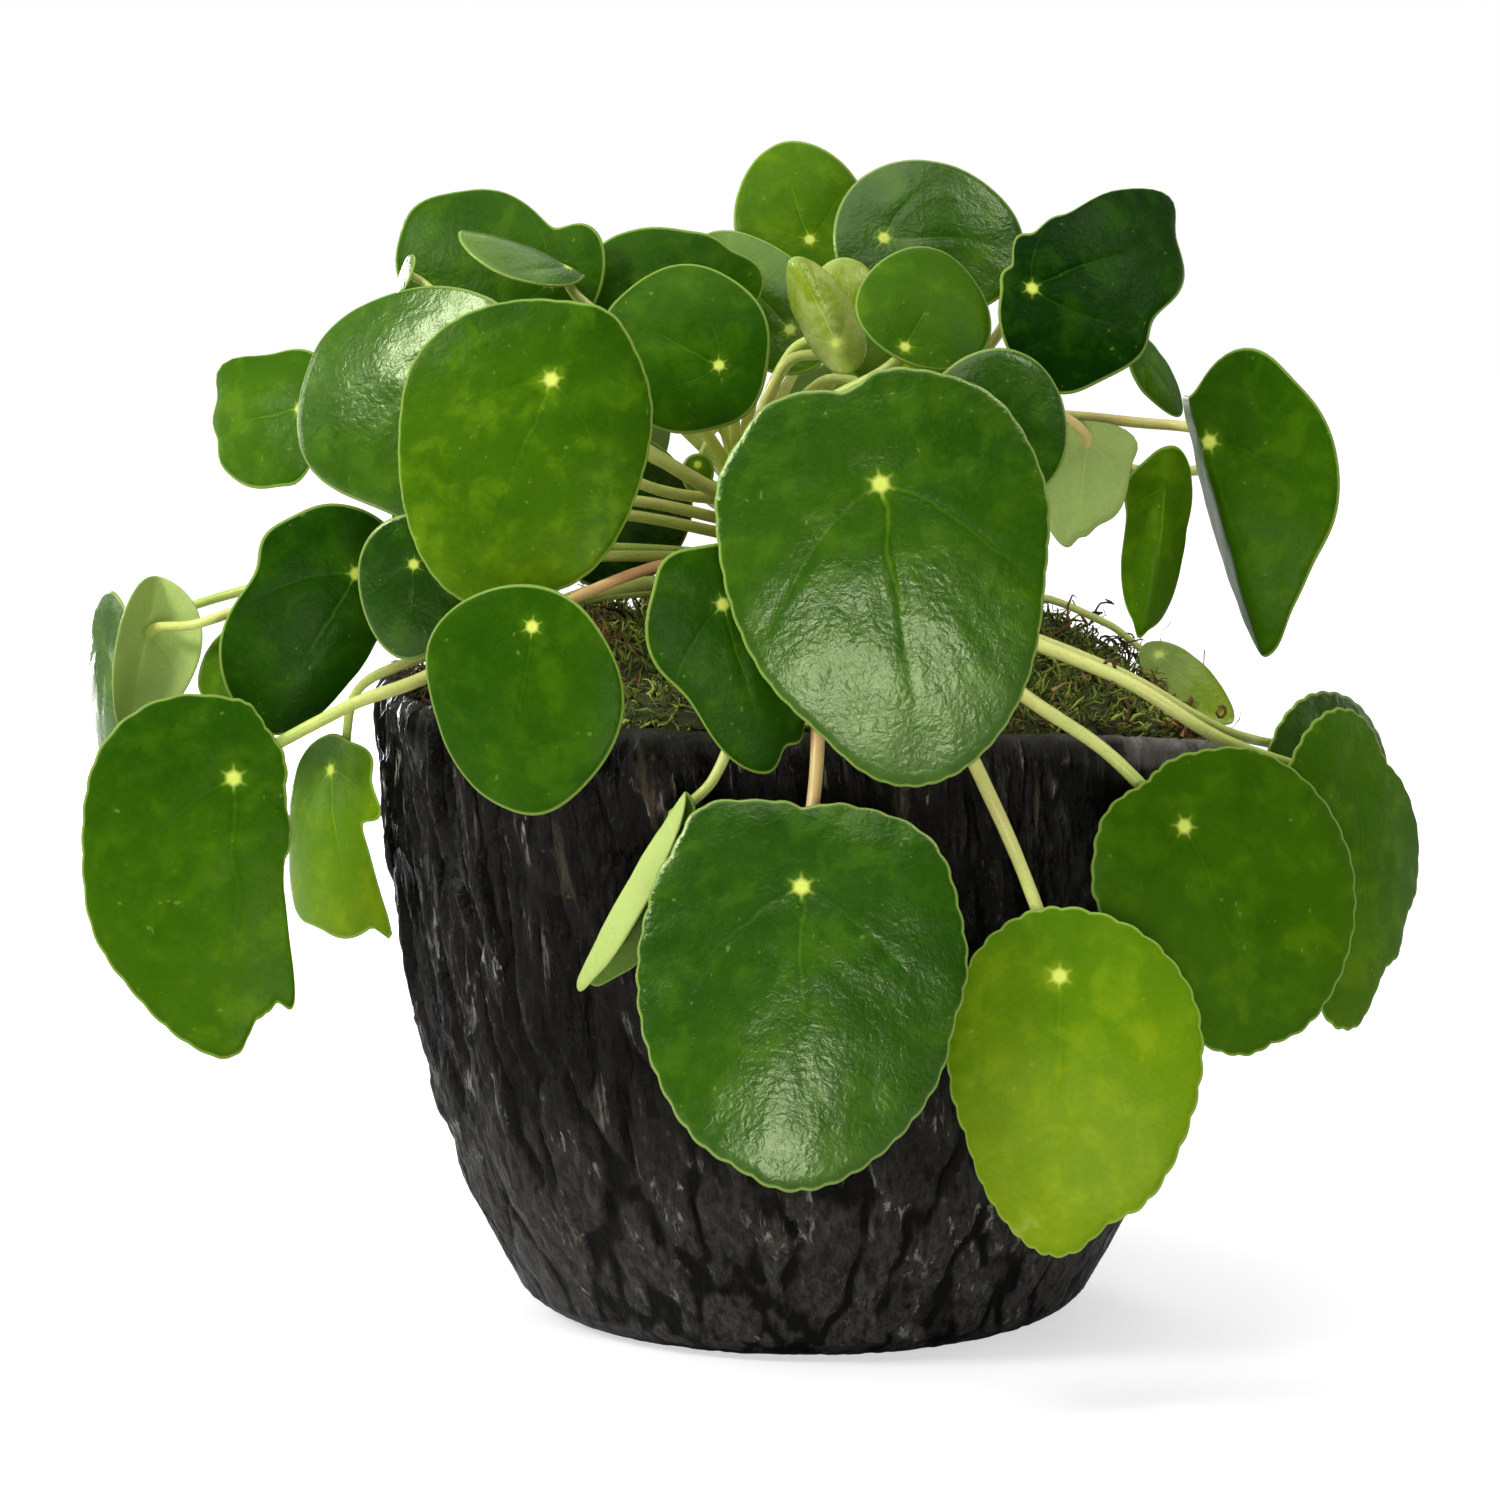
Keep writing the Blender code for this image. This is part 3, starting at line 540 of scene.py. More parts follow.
WAXY_FINISH = LeafFinish("waxy leaf", roughness=0.21, specular=0.5, sheen_tone=(0.88, 1.0, 0.60))
SATIN_FINISH = LeafFinish("satin leaf", roughness=0.30, specular=0.07, sheen_tone=(0.88, 1.0, 0.60))
STALK_FINISH = StalkFinish("pale stalk", roughness=0.38)
TRUNK_FINISH = TrunkFinish("woody trunk", roughness=0.7)
BARK_FINISH = BarkFinish("black bark", roughness=0.08, specular=0.13,
                         sheen_tone=(1.0, 0.96, 0.86))
MOUND_FINISH = MossFinish("moss bed", roughness=0.95, tints=(
    (0.0, (0.006, 0.006, 0.002)), (0.5, (0.035, 0.042, 0.006)), (1.0, (0.10, 0.11, 0.012))))
STRAND_FINISH = MossFinish("moss strands", roughness=0.75, tints=(
    (0.0, (0.025, 0.04, 0.004)), (0.5, (0.12, 0.17, 0.012)), (1.0, (0.36, 0.42, 0.05))))
ROOT_FINISH = MossFinish("root fibre", roughness=0.7, tints=(
    (0.0, (0.05, 0.018, 0.006)), (0.5, (0.20, 0.085, 0.022)), (1.0, (0.42, 0.24, 0.07))))
TWIG_FINISH = MossFinish("dark twig", roughness=0.7, tints=(
    (0.0, (0.010, 0.012, 0.004)), (1.0, (0.07, 0.075, 0.015))))
SOIL_FINISH = SoilFinish("potting soil", roughness=0.95)
FLOOR_FINISH = FloorFinish("pale floor", roughness=0.6, specular=0.2)


def put(name: str, data: Any) -> Piece:
    """Add an object to the scene.

    Args:
        name: name of the object.
        data: the mesh, lamp or camera that it shows.

    Returns:
        The new object.
    """
    placed = bpy.data.objects.new(name, data)
    bpy.context.scene.collection.objects.link(placed)
    return placed


def full_circle(count: int) -> np.ndarray:
    """Return evenly spaced angles, in radians."""
    return np.arange(count) * 2.0 * math.pi / count


def turn_gap(turn: np.ndarray, middle: float) -> np.ndarray:
    """Return how far angles in radians lie from a middle in degrees, from -180 to 180."""
    return (np.degrees(turn) - middle + 180.0) % 360.0 - 180.0


def band_faces(rings: int, around: int, closed: bool = False) -> list[tuple[int, ...]]:
    """Return the faces between rings of points.

    Args:
        rings: how many rings there are.
        around: how many points each has.
        closed: whether the last ring joins the first.

    Returns:
        Corner numbers of each face.
    """
    faces = []
    for ring in range(rings if closed else rings - 1):
        here, there = ring * around, (ring + 1) % rings * around
        for i in range(around):
            beside = (i + 1) % around
            faces.append((here + i, here + beside, there + beside, there + i))
    return faces


def make_piece(
    name: str,
    points: np.ndarray,
    faces: Iterable[Sequence[int]],
    material: Optional[Material] = None,
    marks: Optional[dict[str, np.ndarray]] = None,
    edges: Iterable[Sequence[int]] = (),
) -> Piece:
    """Make a mesh object with its place in its mesh.

    Args:
        name: name of the piece.
        points: places in millimetres.
        faces: corner numbers of each face.
        material: finish of the piece.
        marks: values by attribute name, one number or one vector for each point.
        edges: loose edges, where the piece is a set of lines.

    Returns:
        The new object.
    """
    mesh = bpy.data.meshes.new(name)
    mesh.from_pydata((np.asarray(points) * MM).tolist(), list(edges), list(faces))
    mesh.update()
    if len(mesh.polygons):
        mesh.polygons.foreach_set("use_smooth", np.ones(len(mesh.polygons), bool))
    for mark, values in (marks or {}).items():
        kind, slot = ("FLOAT", "value") if np.ndim(values) == 1 else ("FLOAT_VECTOR", "vector")
        attribute = mesh.attributes.new(mark, kind, "POINT")
        attribute.data.foreach_set(slot, np.ravel(values).astype(np.float32))
    if material is not None:
        mesh.materials.append(material)
    return put(name, mesh)


def settle(piece: Piece, *nodes: str) -> Piece:
    """Fix a finished piece to the body and let it stand for its frame nodes.

    Args:
        piece: the finished mesh object.
        *nodes: frame nodes that the piece stands for; they are hidden.

    Returns:
        The same object.
    """
    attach(piece, "root")
    if nodes:
        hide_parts(*nodes)
    LOG.info("%s: %d faces", piece.name, len(piece.data.polygons))
    return piece


class Growth(Wiring):
    """A geometry node tree that turns a base mesh into a finished one."""

    def __init__(self, name: str, sizes: dict[str, Union[float, int, Material]]) -> None:
        """Start a tree with its named inputs.

        Args:
            name: name of the tree.
            sizes: value of each named input.
        """
        super().__init__(bpy.data.node_groups.new(name, "GeometryNodeTree"))
        self.sizes = sizes
        self.tree.interface.new_socket("Geometry", in_out="INPUT", socket_type="NodeSocketGeometry")
        self.tree.interface.new_socket("Geometry", in_out="OUTPUT", socket_type="NodeSocketGeometry")
        for key, value in sizes.items():
            kind = {float: "NodeSocketFloat", int: "NodeSocketInt"}.get(type(value), "NodeSocketMaterial")
            self.tree.interface.new_socket(key, in_out="INPUT", socket_type=kind)
        self.inlet = self.add("NodeGroupInput")
        self.outlet = self.add("NodeGroupOutput")

    def size(self, key: str) -> Socket:
        """Return the output that carries a named input."""
        return self.inlet.outputs[key]

    def mark(self, key: str) -> Socket:
        """Return the output that reads a number attribute of the geometry."""
        return self.add("GeometryNodeInputNamedAttribute", {0: key}, data_type="FLOAT").outputs[0]

    def position(self) -> Socket:
        """Return the output with the place of each point."""
        return self.add("GeometryNodeInputPosition").outputs[0]

    def store(self, geometry: Value, key: str, value: Value) -> Socket:
        """Return the geometry with a number written on its points, under a name."""
        feeds = {0: geometry, 2: key, 3: value}
        return self.add("GeometryNodeStoreNamedAttribute", feeds, data_type="FLOAT").outputs[0]

    def move(self, geometry: Value, off: Value, only: Value = None) -> Socket:
        """Return the geometry with its points moved, all of them or only some."""
        return self.add("GeometryNodeSetPosition", {0: geometry, 1: only, 3: off}).outputs[0]

    def push(self, geometry: Value, rise: Value) -> Socket:
        """Return the geometry with its points moved along their normals."""
        normal = self.add("GeometryNodeInputNormal").outputs[0]
        return self.move(geometry, self.scaled(normal, rise))

    def chance(self, low: Value, high: Value, seed: Value) -> Socket:
        """Return a random number for each element."""
        node = self.add("FunctionNodeRandomValue", {2: low, 3: high, 8: seed}, data_type="FLOAT")
        return node.outputs[1]

    def tube(self, curve: Value, sides: Value, radius: Value) -> Socket:
        """Return a curve as a round closed tube."""
        circle = self.add("GeometryNodeCurvePrimitiveCircle", {0: sides, 4: 1.0}).outputs[0]
        return self.add("GeometryNodeCurveToMesh", {0: curve, 1: circle, 2: radius, 3: True}).outputs[0]

    def grow(self, base: Piece, geometry: Value) -> Piece:
        """End the tree, run it on a base mesh and keep the result as a plain mesh.

        Args:
            base: object whose mesh feeds the tree; it is used up.
            geometry: output with the finished geometry.

        Returns:
            The finished object, with the base's name.
        """
        real = self.add("GeometryNodeRealizeInstances", {0: geometry}).outputs[0]
        smooth = self.add("GeometryNodeSetShadeSmooth", {0: real}).outputs[0]
        dressed = self.add("GeometryNodeSetMaterial", {0: smooth, 2: self.size("Finish")}).outputs[0]
        self.feed(self.outlet.inputs[0], dressed)
        modifier = base.modifiers.new(self.tree.name, "NODES")
        modifier.node_group = self.tree
        for item in self.tree.interface.items_tree:
            if item.in_out == "INPUT" and item.name in self.sizes:
                modifier[item.identifier] = self.sizes[item.name]
        graph = bpy.context.evaluated_depsgraph_get()
        graph.update()
        mesh = bpy.data.meshes.new_from_object(base.evaluated_get(graph))
        base.modifiers.remove(modifier)
        name = base.name
        bpy.data.objects.remove(base)
        mesh.name = name
        return put(name, mesh)


class LeafSpec(NamedTuple):
    """Place and form of one blade and its stalk, as in the frame.

    dot is where the stalk meets the blade. faces is the way its upper face looks: the azimuth from
    the front towards +X, the elevation, and the roll of the tip from straight down towards +X. size
    is the length and width. curl rolls each half back and fold creases it at the midrib, left and
    right. root is the share of the way up the trunk where the stalk starts. lobes move the edge out
    or in: an angle from the tip, millimetres, and half the width in degrees.
    """

    name: str
    dot: Triple
    faces: Triple
    size: Pair
    bend: float = 22.0
    curl: Pair = (14.0, 14.0)
    fold: Pair = (0.0, 0.0)
    aside: float = 0.0
    egg: float = 0.15
    dot_share: float = 0.25
    root: float = 0.7
    via: tuple[Triple, ...] = ()
    stalk: float = 1.1
    lobes: tuple[Triple, ...] = ()


class Coat(Enum):
    """How much the upper face of a blade shines."""

    WAXY = "waxy"
    SATIN = "satin"


class Look(NamedTuple):
    """Colour and fine edge of one blade and its stalk.

    green is the place on the scale of greens at the base and at the tip. scallops is how many the
    edge has and how deep they are. blush turns the stalk from yellow-green at 0 to pinkish brown at
    1. under lightens the lower face. mottle is how strong the blotches are, dot how large the pale
    dot is and veins how clear the veins are, each as a share of the usual.
    """

    green: Pair = (0.38, 0.44)
    scallops: Pair = (0.0, 0.0)
    blush: float = 0.25
    coat: Coat = Coat.WAXY
    under: float = 0.0
    mottle: float = 1.0
    dot: float = 1.0
    veins: float = 1.0


LEAVES = (
    LeafSpec("leaf_01", (-123, -58, 127), (5, 14, 0), (77, 47), curl=(10, 12), aside=-9, root=0.5, stalk=1.4,
             via=((-45, -30, 165), (-83, -43, 147), (-100, -49, 141)),
             lobes=((-140, 2, 25), (-70, 2.6, 20), (-8, 0.5, 6), (20, -4, 13), (54, 8, 8),
                    (78, -7, 15), (108, -3.5, 16), (150, -3, 20), (180, -2, 14))),
    LeafSpec("leaf_02", (-105, -20, 124), (-50, 10, 20), (46, 40), dot_share=0.18, root=0.47,
             via=((-45, -22, 163), (-86, -25, 149), (-99, -23, 142)),
             lobes=((-76, 7, 22), (25, 6.5, 7), (56, -14, 20), (100, -8, 25), (150, -3, 20))),
    LeafSpec("leaf_03", (-146, -14, 154), (-160, -5, 14), (36, 27), fold=(35, 45), dot_share=0.35, root=0.6,
             via=((-60, -8, 172), (-100, -12, 164), (-121, -24, 161), (-134, -26, 157))),
    LeafSpec("leaf_04", (-98, -36, 169), (12, 8, -31), (53, 39), curl=(12, 80), aside=-6, root=0.65,
             lobes=((-130, -3, 20), (-88, -6.5, 24), (150, -3.5, 25))),
    LeafSpec("leaf_05", (-121, -28, 149), (-30, 10, -70), (22, 19), root=0.6),
    LeafSpec("leaf_06", (-84, -58, 173), (-10, 5, -5), (31, 24), dot_share=0.35, root=0.7),
    LeafSpec("leaf_07", (-111, -22, 204), (-30, 25, -75), (33, 32), root=0.8,
             lobes=((-60, 8, 17), (6, -2, 15), (118, 2, 15))),
    LeafSpec("leaf_08", (-75.6, -46, 217.6), (-25, 20, -22), (54, 56), aside=-8, root=0.8,
             via=((-37, -36, 189), (-59, -41, 206)),
             lobes=((-130, -4.5, 32), (-46, 3.5, 24), (3, -3.5, 26))),
    LeafSpec("leaf_09", (-54, -72, 213), (-8, 15, -20), (66, 52), curl=(12, 25), aside=-2, root=0.75,
             stalk=1.4, via=((-35, -48, 197),),
             lobes=((-112, 2.2, 25), (65, 5.2, 28), (168, 1.8, 14))),
    LeafSpec("leaf_10", (-57, -102, 164), (-15, 8, -5), (47, 42), dot_share=0.18, root=0.6,
             via=((-30, -58, 173), (-47, -83, 169)),
             lobes=((-116, 2.6, 26), (20, 1.3, 25), (125, -3, 32))),
    LeafSpec("leaf_11", (-56, -15, 231.5), (-10, 20, -108), (48, 41), dot_share=0.23, root=0.9,
             via=((-44, 2, 214), (-56, -2, 224)),
             lobes=((-100, -10, 26), (-26, 2.6, 20))),
    LeafSpec("leaf_12", (-52, -30, 235), (64, 62, -157), (28, 24), fold=(14, 14), dot_share=0.14, root=0.9,
             via=((-34, -30, 216), (-50, -31, 229))),
    LeafSpec("leaf_13", (-87, -26, 233.5), (-70, 20, -90), (12, 9), root=0.9, stalk=0.8,
             via=((-20, -7, 201), (-48, -30, 211), (-74, -32, 224))),
    LeafSpec("leaf_14", (-27, -14, 223), (0, 15, -120), (38, 35), root=0.95,
             lobes=((-145, 8, 20), (-110, 2, 15), (0, -2.8, 25))),
    LeafSpec("leaf_15", (-19, -52, 215), (-5, 15, -116), (36, 35), root=0.9,
             lobes=((-64, 3.3, 30), (165, 2.2, 22))),
    LeafSpec("leaf_16", (-3.5, -4, 220.5), (-10, 20, -135), (41, 24), root=0.95),
    LeafSpec("leaf_17", (1, 12, 240), (0, 20, -162), (33, 30), root=0.95),
    LeafSpec("leaf_18", (17, -14, 241), (5, 25, 90), (44, 38), root=0.95, via=((5, -2, 208), (14, -6, 222))),
    LeafSpec("leaf_19", (20.5, -55.5, 219), (10, 30, 149), (31, 30), dot_share=0.1, root=0.9,
             via=((4, -46, 207),)),
    LeafSpec("leaf_20", (21, -38, 213), (0, 35, 175), (22, 24), root=0.9),
    LeafSpec("leaf_21", (6.2, -46, 219.7), (20, 20, -159), (28, 19), fold=(15, 75), root=0.95),
    LeafSpec("leaf_22", (106, 30, 192), (70, 20, 10), (36, 30), root=0.75,
             via=((50, 14, 188), (92, 30, 187))),
    LeafSpec("leaf_23", (48, -44, 231), (15, 25, 112), (49, 48), dot_share=0.19, root=0.9,
             via=((36, -32, 215),),
             lobes=((-148, 6.5, 26), (-58, -4.8, 20), (22, 9, 15), (60, -6.5, 13), (88, -14, 26),
                    (134, -11, 28), (176, -2, 14))),
    LeafSpec("leaf_24", (88, -26, 197), (-10, 10, 17), (66, 50), curl=(5, 14), fold=(78, 0), egg=0.3,
             root=0.7, via=((40, 0, 200), (80, 4, 199), (91, -10, 198)),
             lobes=((-178, -6, 14), (-125, -7, 28), (24, -4, 18), (50, -4.5, 22), (160, 4, 16))),
    LeafSpec("leaf_25", (77.5, -36, 187.5), (20, 5, -8), (41, 26), fold=(45, 28), root=0.7,
             via=((40, -5, 192), (74, -16, 190)),
             lobes=((-150, -2.4, 28), (-80, -6.5, 38), (-6, 2.5, 7), (85, -3.6, 50))),
    LeafSpec("leaf_26", (76.5, 17, 213), (50, 10, 48), (25, 12), root=0.8),
    LeafSpec("leaf_27", (60, -42, 198), (-165, 5, 5), (28, 21), dot_share=0.15, root=0.75,
             via=((30, -42, 204), (52, -50, 205)),
             lobes=((-140, 3.5, 20), (-30, -4, 30), (0, -2, 12))),
    LeafSpec("leaf_28", (14, -112, 194), (3, 14, 9), (86, 68), dot_share=0.28, root=0.7, stalk=1.5,
             lobes=((-174, -3.6, 9), (-150, 2, 9), (-128, 2.3, 16), (-44, -2.2, 18), (80, -3, 24),
                    (140, 1.6, 14))),
    LeafSpec("leaf_29", (36, -82, 198), (10, 15, 150), (33, 31), root=0.75),
    LeafSpec("leaf_30", (-18, -106, 169), (12, 5, 17), (48, 36), curl=(15, 80), root=0.55,
             via=((-10, -50, 178),),
             lobes=((-160, 2.2, 14), (-66, -5.2, 30), (16, -3.8, 12))),
    LeafSpec("leaf_31", (-2, -122, 113), (0, 20, 0), (78, 68), egg=0.06, dot_share=0.23, root=0.4, stalk=1.4,
             via=((4, -60, 165), (2, -92, 150), (1, -106, 132)),
             lobes=((-152, 5, 12), (-130, 1.6, 12), (-24, -1.5, 12), (78, -1.6, 12), (140, 3.6, 18),
                    (178, -1.6, 6))),
    LeafSpec("leaf_32", (-28.4, -101, 124.8), (-15, 8, -31), (46, 18), curl=(-20, 10), fold=(-150, 0),
             egg=-0.2, aside=1.2, dot_share=0.12, root=0.42,
             via=((-6, -60, 164), (-13, -91, 149), (-20, -99, 132)),
             lobes=((-70, -2.2, 30), (-16, 4, 14), (16, 2.5, 12))),
    LeafSpec("leaf_33", (51, -112, 93), (-2, 20, -2), (72, 51), curl=(15, 10), aside=4, egg=0.2,
             dot_share=0.2, root=0.42, stalk=1.4,
             via=((18, -60, 164), (27, -88, 149), (36, -99, 131), (44, -101, 113)),
             lobes=((-68, -1, 12), (30, -3.2, 14))),
    LeafSpec("leaf_34", (78, -90, 121), (15, 12, 22), (67, 56), aside=4, egg=0.06, root=0.45, stalk=1.4,
             via=((28, -55, 162), (44, -78, 148), (62, -84, 136)),
             lobes=((-168, -4.8, 22), (-112, 1.2, 10), (0, -1.2, 10), (85, 2.4, 36), (158, -2, 16))),
    LeafSpec("leaf_35", (118, -50, 124), (45, 10, -2), (70, 50), root=0.5, stalk=1.4,
             via=((30, -45, 161), (67, -60, 148.5), (89, -60, 135.3)),
             lobes=((-26, 1, 10), (8, -1.5, 10), (25, -9, 20), (58, -6, 16), (136, -8, 28))),
    LeafSpec("leaf_36", (79, -6, 148), (-10, 50, 40), (31.5, 12.5), bend=6, dot_share=0.15, root=0.4,
             stalk=0.8, via=((50, 8, 160), (68, 6, 154))),
    LeafSpec("leaf_37", (-40, 14, 187), (-10, 5, -20), (36, 34), root=0.65, via=((-19, 18, 183),)),
    LeafSpec("leaf_38", (-24, -11, 191), (0, 10, 0), (9, 7), root=0.9, stalk=0.6),
    LeafSpec("leaf_39", (-158, 14, 150), (-60, 5, -5), (42, 26), root=0.6),
    LeafSpec("leaf_40", (115, -26, 127), (45, 10, 5), (60, 46), root=0.5,
             via=((35, -40, 160), (67, -50, 149), (90, -46, 136))),
    LeafSpec("leaf_41", (-66, 96, 112), (-148, 15, 5), (68, 56), root=0.4,
             via=((-25, 50, 164), (-55, 78, 150))),
    LeafSpec("leaf_42", (0, 112, 118), (178, 15, 3), (74, 62), root=0.38,
             via=((2, 50, 166), (1, 92, 151))),
    LeafSpec("leaf_43", (64, 100, 104), (147, 15, -4), (66, 56), root=0.4,
             via=((30, 50, 161), (52, 80, 150))),
    LeafSpec("leaf_44", (-84, 52, 176), (-130, 20, 10), (46, 40), root=0.6, via=((-32, 32, 184),)),
    LeafSpec("leaf_45", (-52, 72, 200), (-160, 25, 5), (52, 46), root=0.75),
    LeafSpec("leaf_46", (12, 76, 196), (170, 25, -5), (60, 52), root=0.75),
    LeafSpec("leaf_47", (42, 58, 196), (135, 20, 0), (38, 34), root=0.7),
    LeafSpec("leaf_48", (-32, 50, 221), (-170, 30, 150), (34, 32), root=0.9),
    LeafSpec("leaf_49", (24, 46, 236), (160, 30, -150), (34, 32), root=0.9),
    LeafSpec("leaf_50", (-68, 40, 222), (-140, 30, 80), (42, 38), root=0.85),
    LeafSpec("leaf_51", (8.9, -26, 223.8), (20, 20, 172), (20, 16), root=0.95),
)

LOOKS = {
    "leaf_01": Look((0.30, 0.48), (34, 0.35), coat=Coat.SATIN, veins=0.4),
    "leaf_02": Look((0.60, 0.80), coat=Coat.SATIN),
    "leaf_03": Look((0.78, 0.82), blush=0.3, under=0.35),
    "leaf_04": Look((0.14, 0.10), coat=Coat.SATIN),
    "leaf_05": Look((0.50, 0.52)),
    "leaf_06": Look((0.16, 0.20)),
    "leaf_07": Look((0.38, 0.44), coat=Coat.SATIN),
    "leaf_08": Look((0.42, 0.36)),
    "leaf_09": Look((0.35, 0.60), (36, 0.15), coat=Coat.SATIN, mottle=1.5, veins=0.5),
    "leaf_10": Look((0.28, 0.28), blush=0.85, coat=Coat.SATIN, veins=0.4),
    "leaf_11": Look((0.28, 0.30), coat=Coat.SATIN),
    "leaf_12": Look((0.42, 0.60), under=0.5),
    "leaf_13": Look((0.60, 0.70), under=0.4),
    "leaf_14": Look((0.26, 0.28), coat=Coat.SATIN),
    "leaf_15": Look((0.28, 0.31), coat=Coat.SATIN),
    "leaf_16": Look((0.50, 0.54)),
    "leaf_17": Look((0.50, 0.52), coat=Coat.SATIN),
    "leaf_18": Look((0.28, 0.30)),
    "leaf_19": Look((0.42, 0.50), coat=Coat.SATIN),
    "leaf_20": Look((0.62, 0.70), coat=Coat.SATIN),
    "leaf_21": Look((1.05, 1.12), mottle=1.8),
    "leaf_22": Look((0.26, 0.30)),
    "leaf_23": Look((0.00, 0.08), blush=0.6, coat=Coat.SATIN),
    "leaf_24": Look((0.32, 0.36), blush=0.4, coat=Coat.SATIN, veins=0.4),
    "leaf_25": Look((0.48, 0.52), coat=Coat.SATIN, dot=0.02),
    "leaf_26": Look((0.38, 0.45), coat=Coat.SATIN, dot=0.02),
    "leaf_27": Look((0.50, 0.55), blush=0.75, under=0.25),
    "leaf_28": Look((0.28, 0.37), (44, 0.3), veins=1.2),
    "leaf_29": Look((0.16, 0.22)),
    "leaf_30": Look((0.20, 0.20), coat=Coat.SATIN),
    "leaf_31": Look((0.22, 0.31), (40, 0.55), blush=0.75, veins=0.7),
    "leaf_32": Look((0.50, 0.60), under=0.55),
    "leaf_33": Look((0.70, 0.95), (36, 0.6), blush=0.3, coat=Coat.SATIN, veins=0.3),
    "leaf_34": Look((0.40, 0.46), (40, 0.5), coat=Coat.SATIN, veins=0.4),
    "leaf_35": Look((0.49, 0.53), (40, 0.5), coat=Coat.SATIN, dot=0.02, veins=0.3),
    "leaf_36": Look((0.86, 1.00)),
    "leaf_37": Look((0.06, 0.10)),
    "leaf_38": Look((0.55, 0.60)),
    "leaf_39": Look((0.38, 0.42), dot=0.02),
    "leaf_40": Look((0.34, 0.38), (36, 0.4)),
    "leaf_51": Look((0.95, 1.02), mottle=1.8),
}


def axes_of(spec: LeafSpec) -> tuple[np.ndarray, np.ndarray, np.ndarray]:
    """Work out how a blade lies.

    Args:
        spec: the leaf.

    Returns:
        The directions of the tip, of the side and of the upper face.
    """
    azimuth, elevation, roll = (math.radians(a) for a in spec.faces)
    face = np.array((math.cos(elevation) * math.sin(azimuth),
                     -math.cos(elevation) * math.cos(azimuth), math.sin(elevation)))
    down = np.array((math.sin(elevation) * math.sin(azimuth),
                     -math.sin(elevation) * math.cos(azimuth), -math.cos(elevation)))
    right = np.array((math.cos(azimuth), math.sin(azimuth), 0.0))
    tip = math.cos(roll) * down + math.sin(roll) * right
    return tip, np.cross(face, tip), face


def swirl(points: np.ndarray, seed: float) -> np.ndarray:
    """Return smooth noise between about -1 and 1 at flat places."""
    return np.array([noise.noise(Vector((x, y, seed))) for x, y in points])


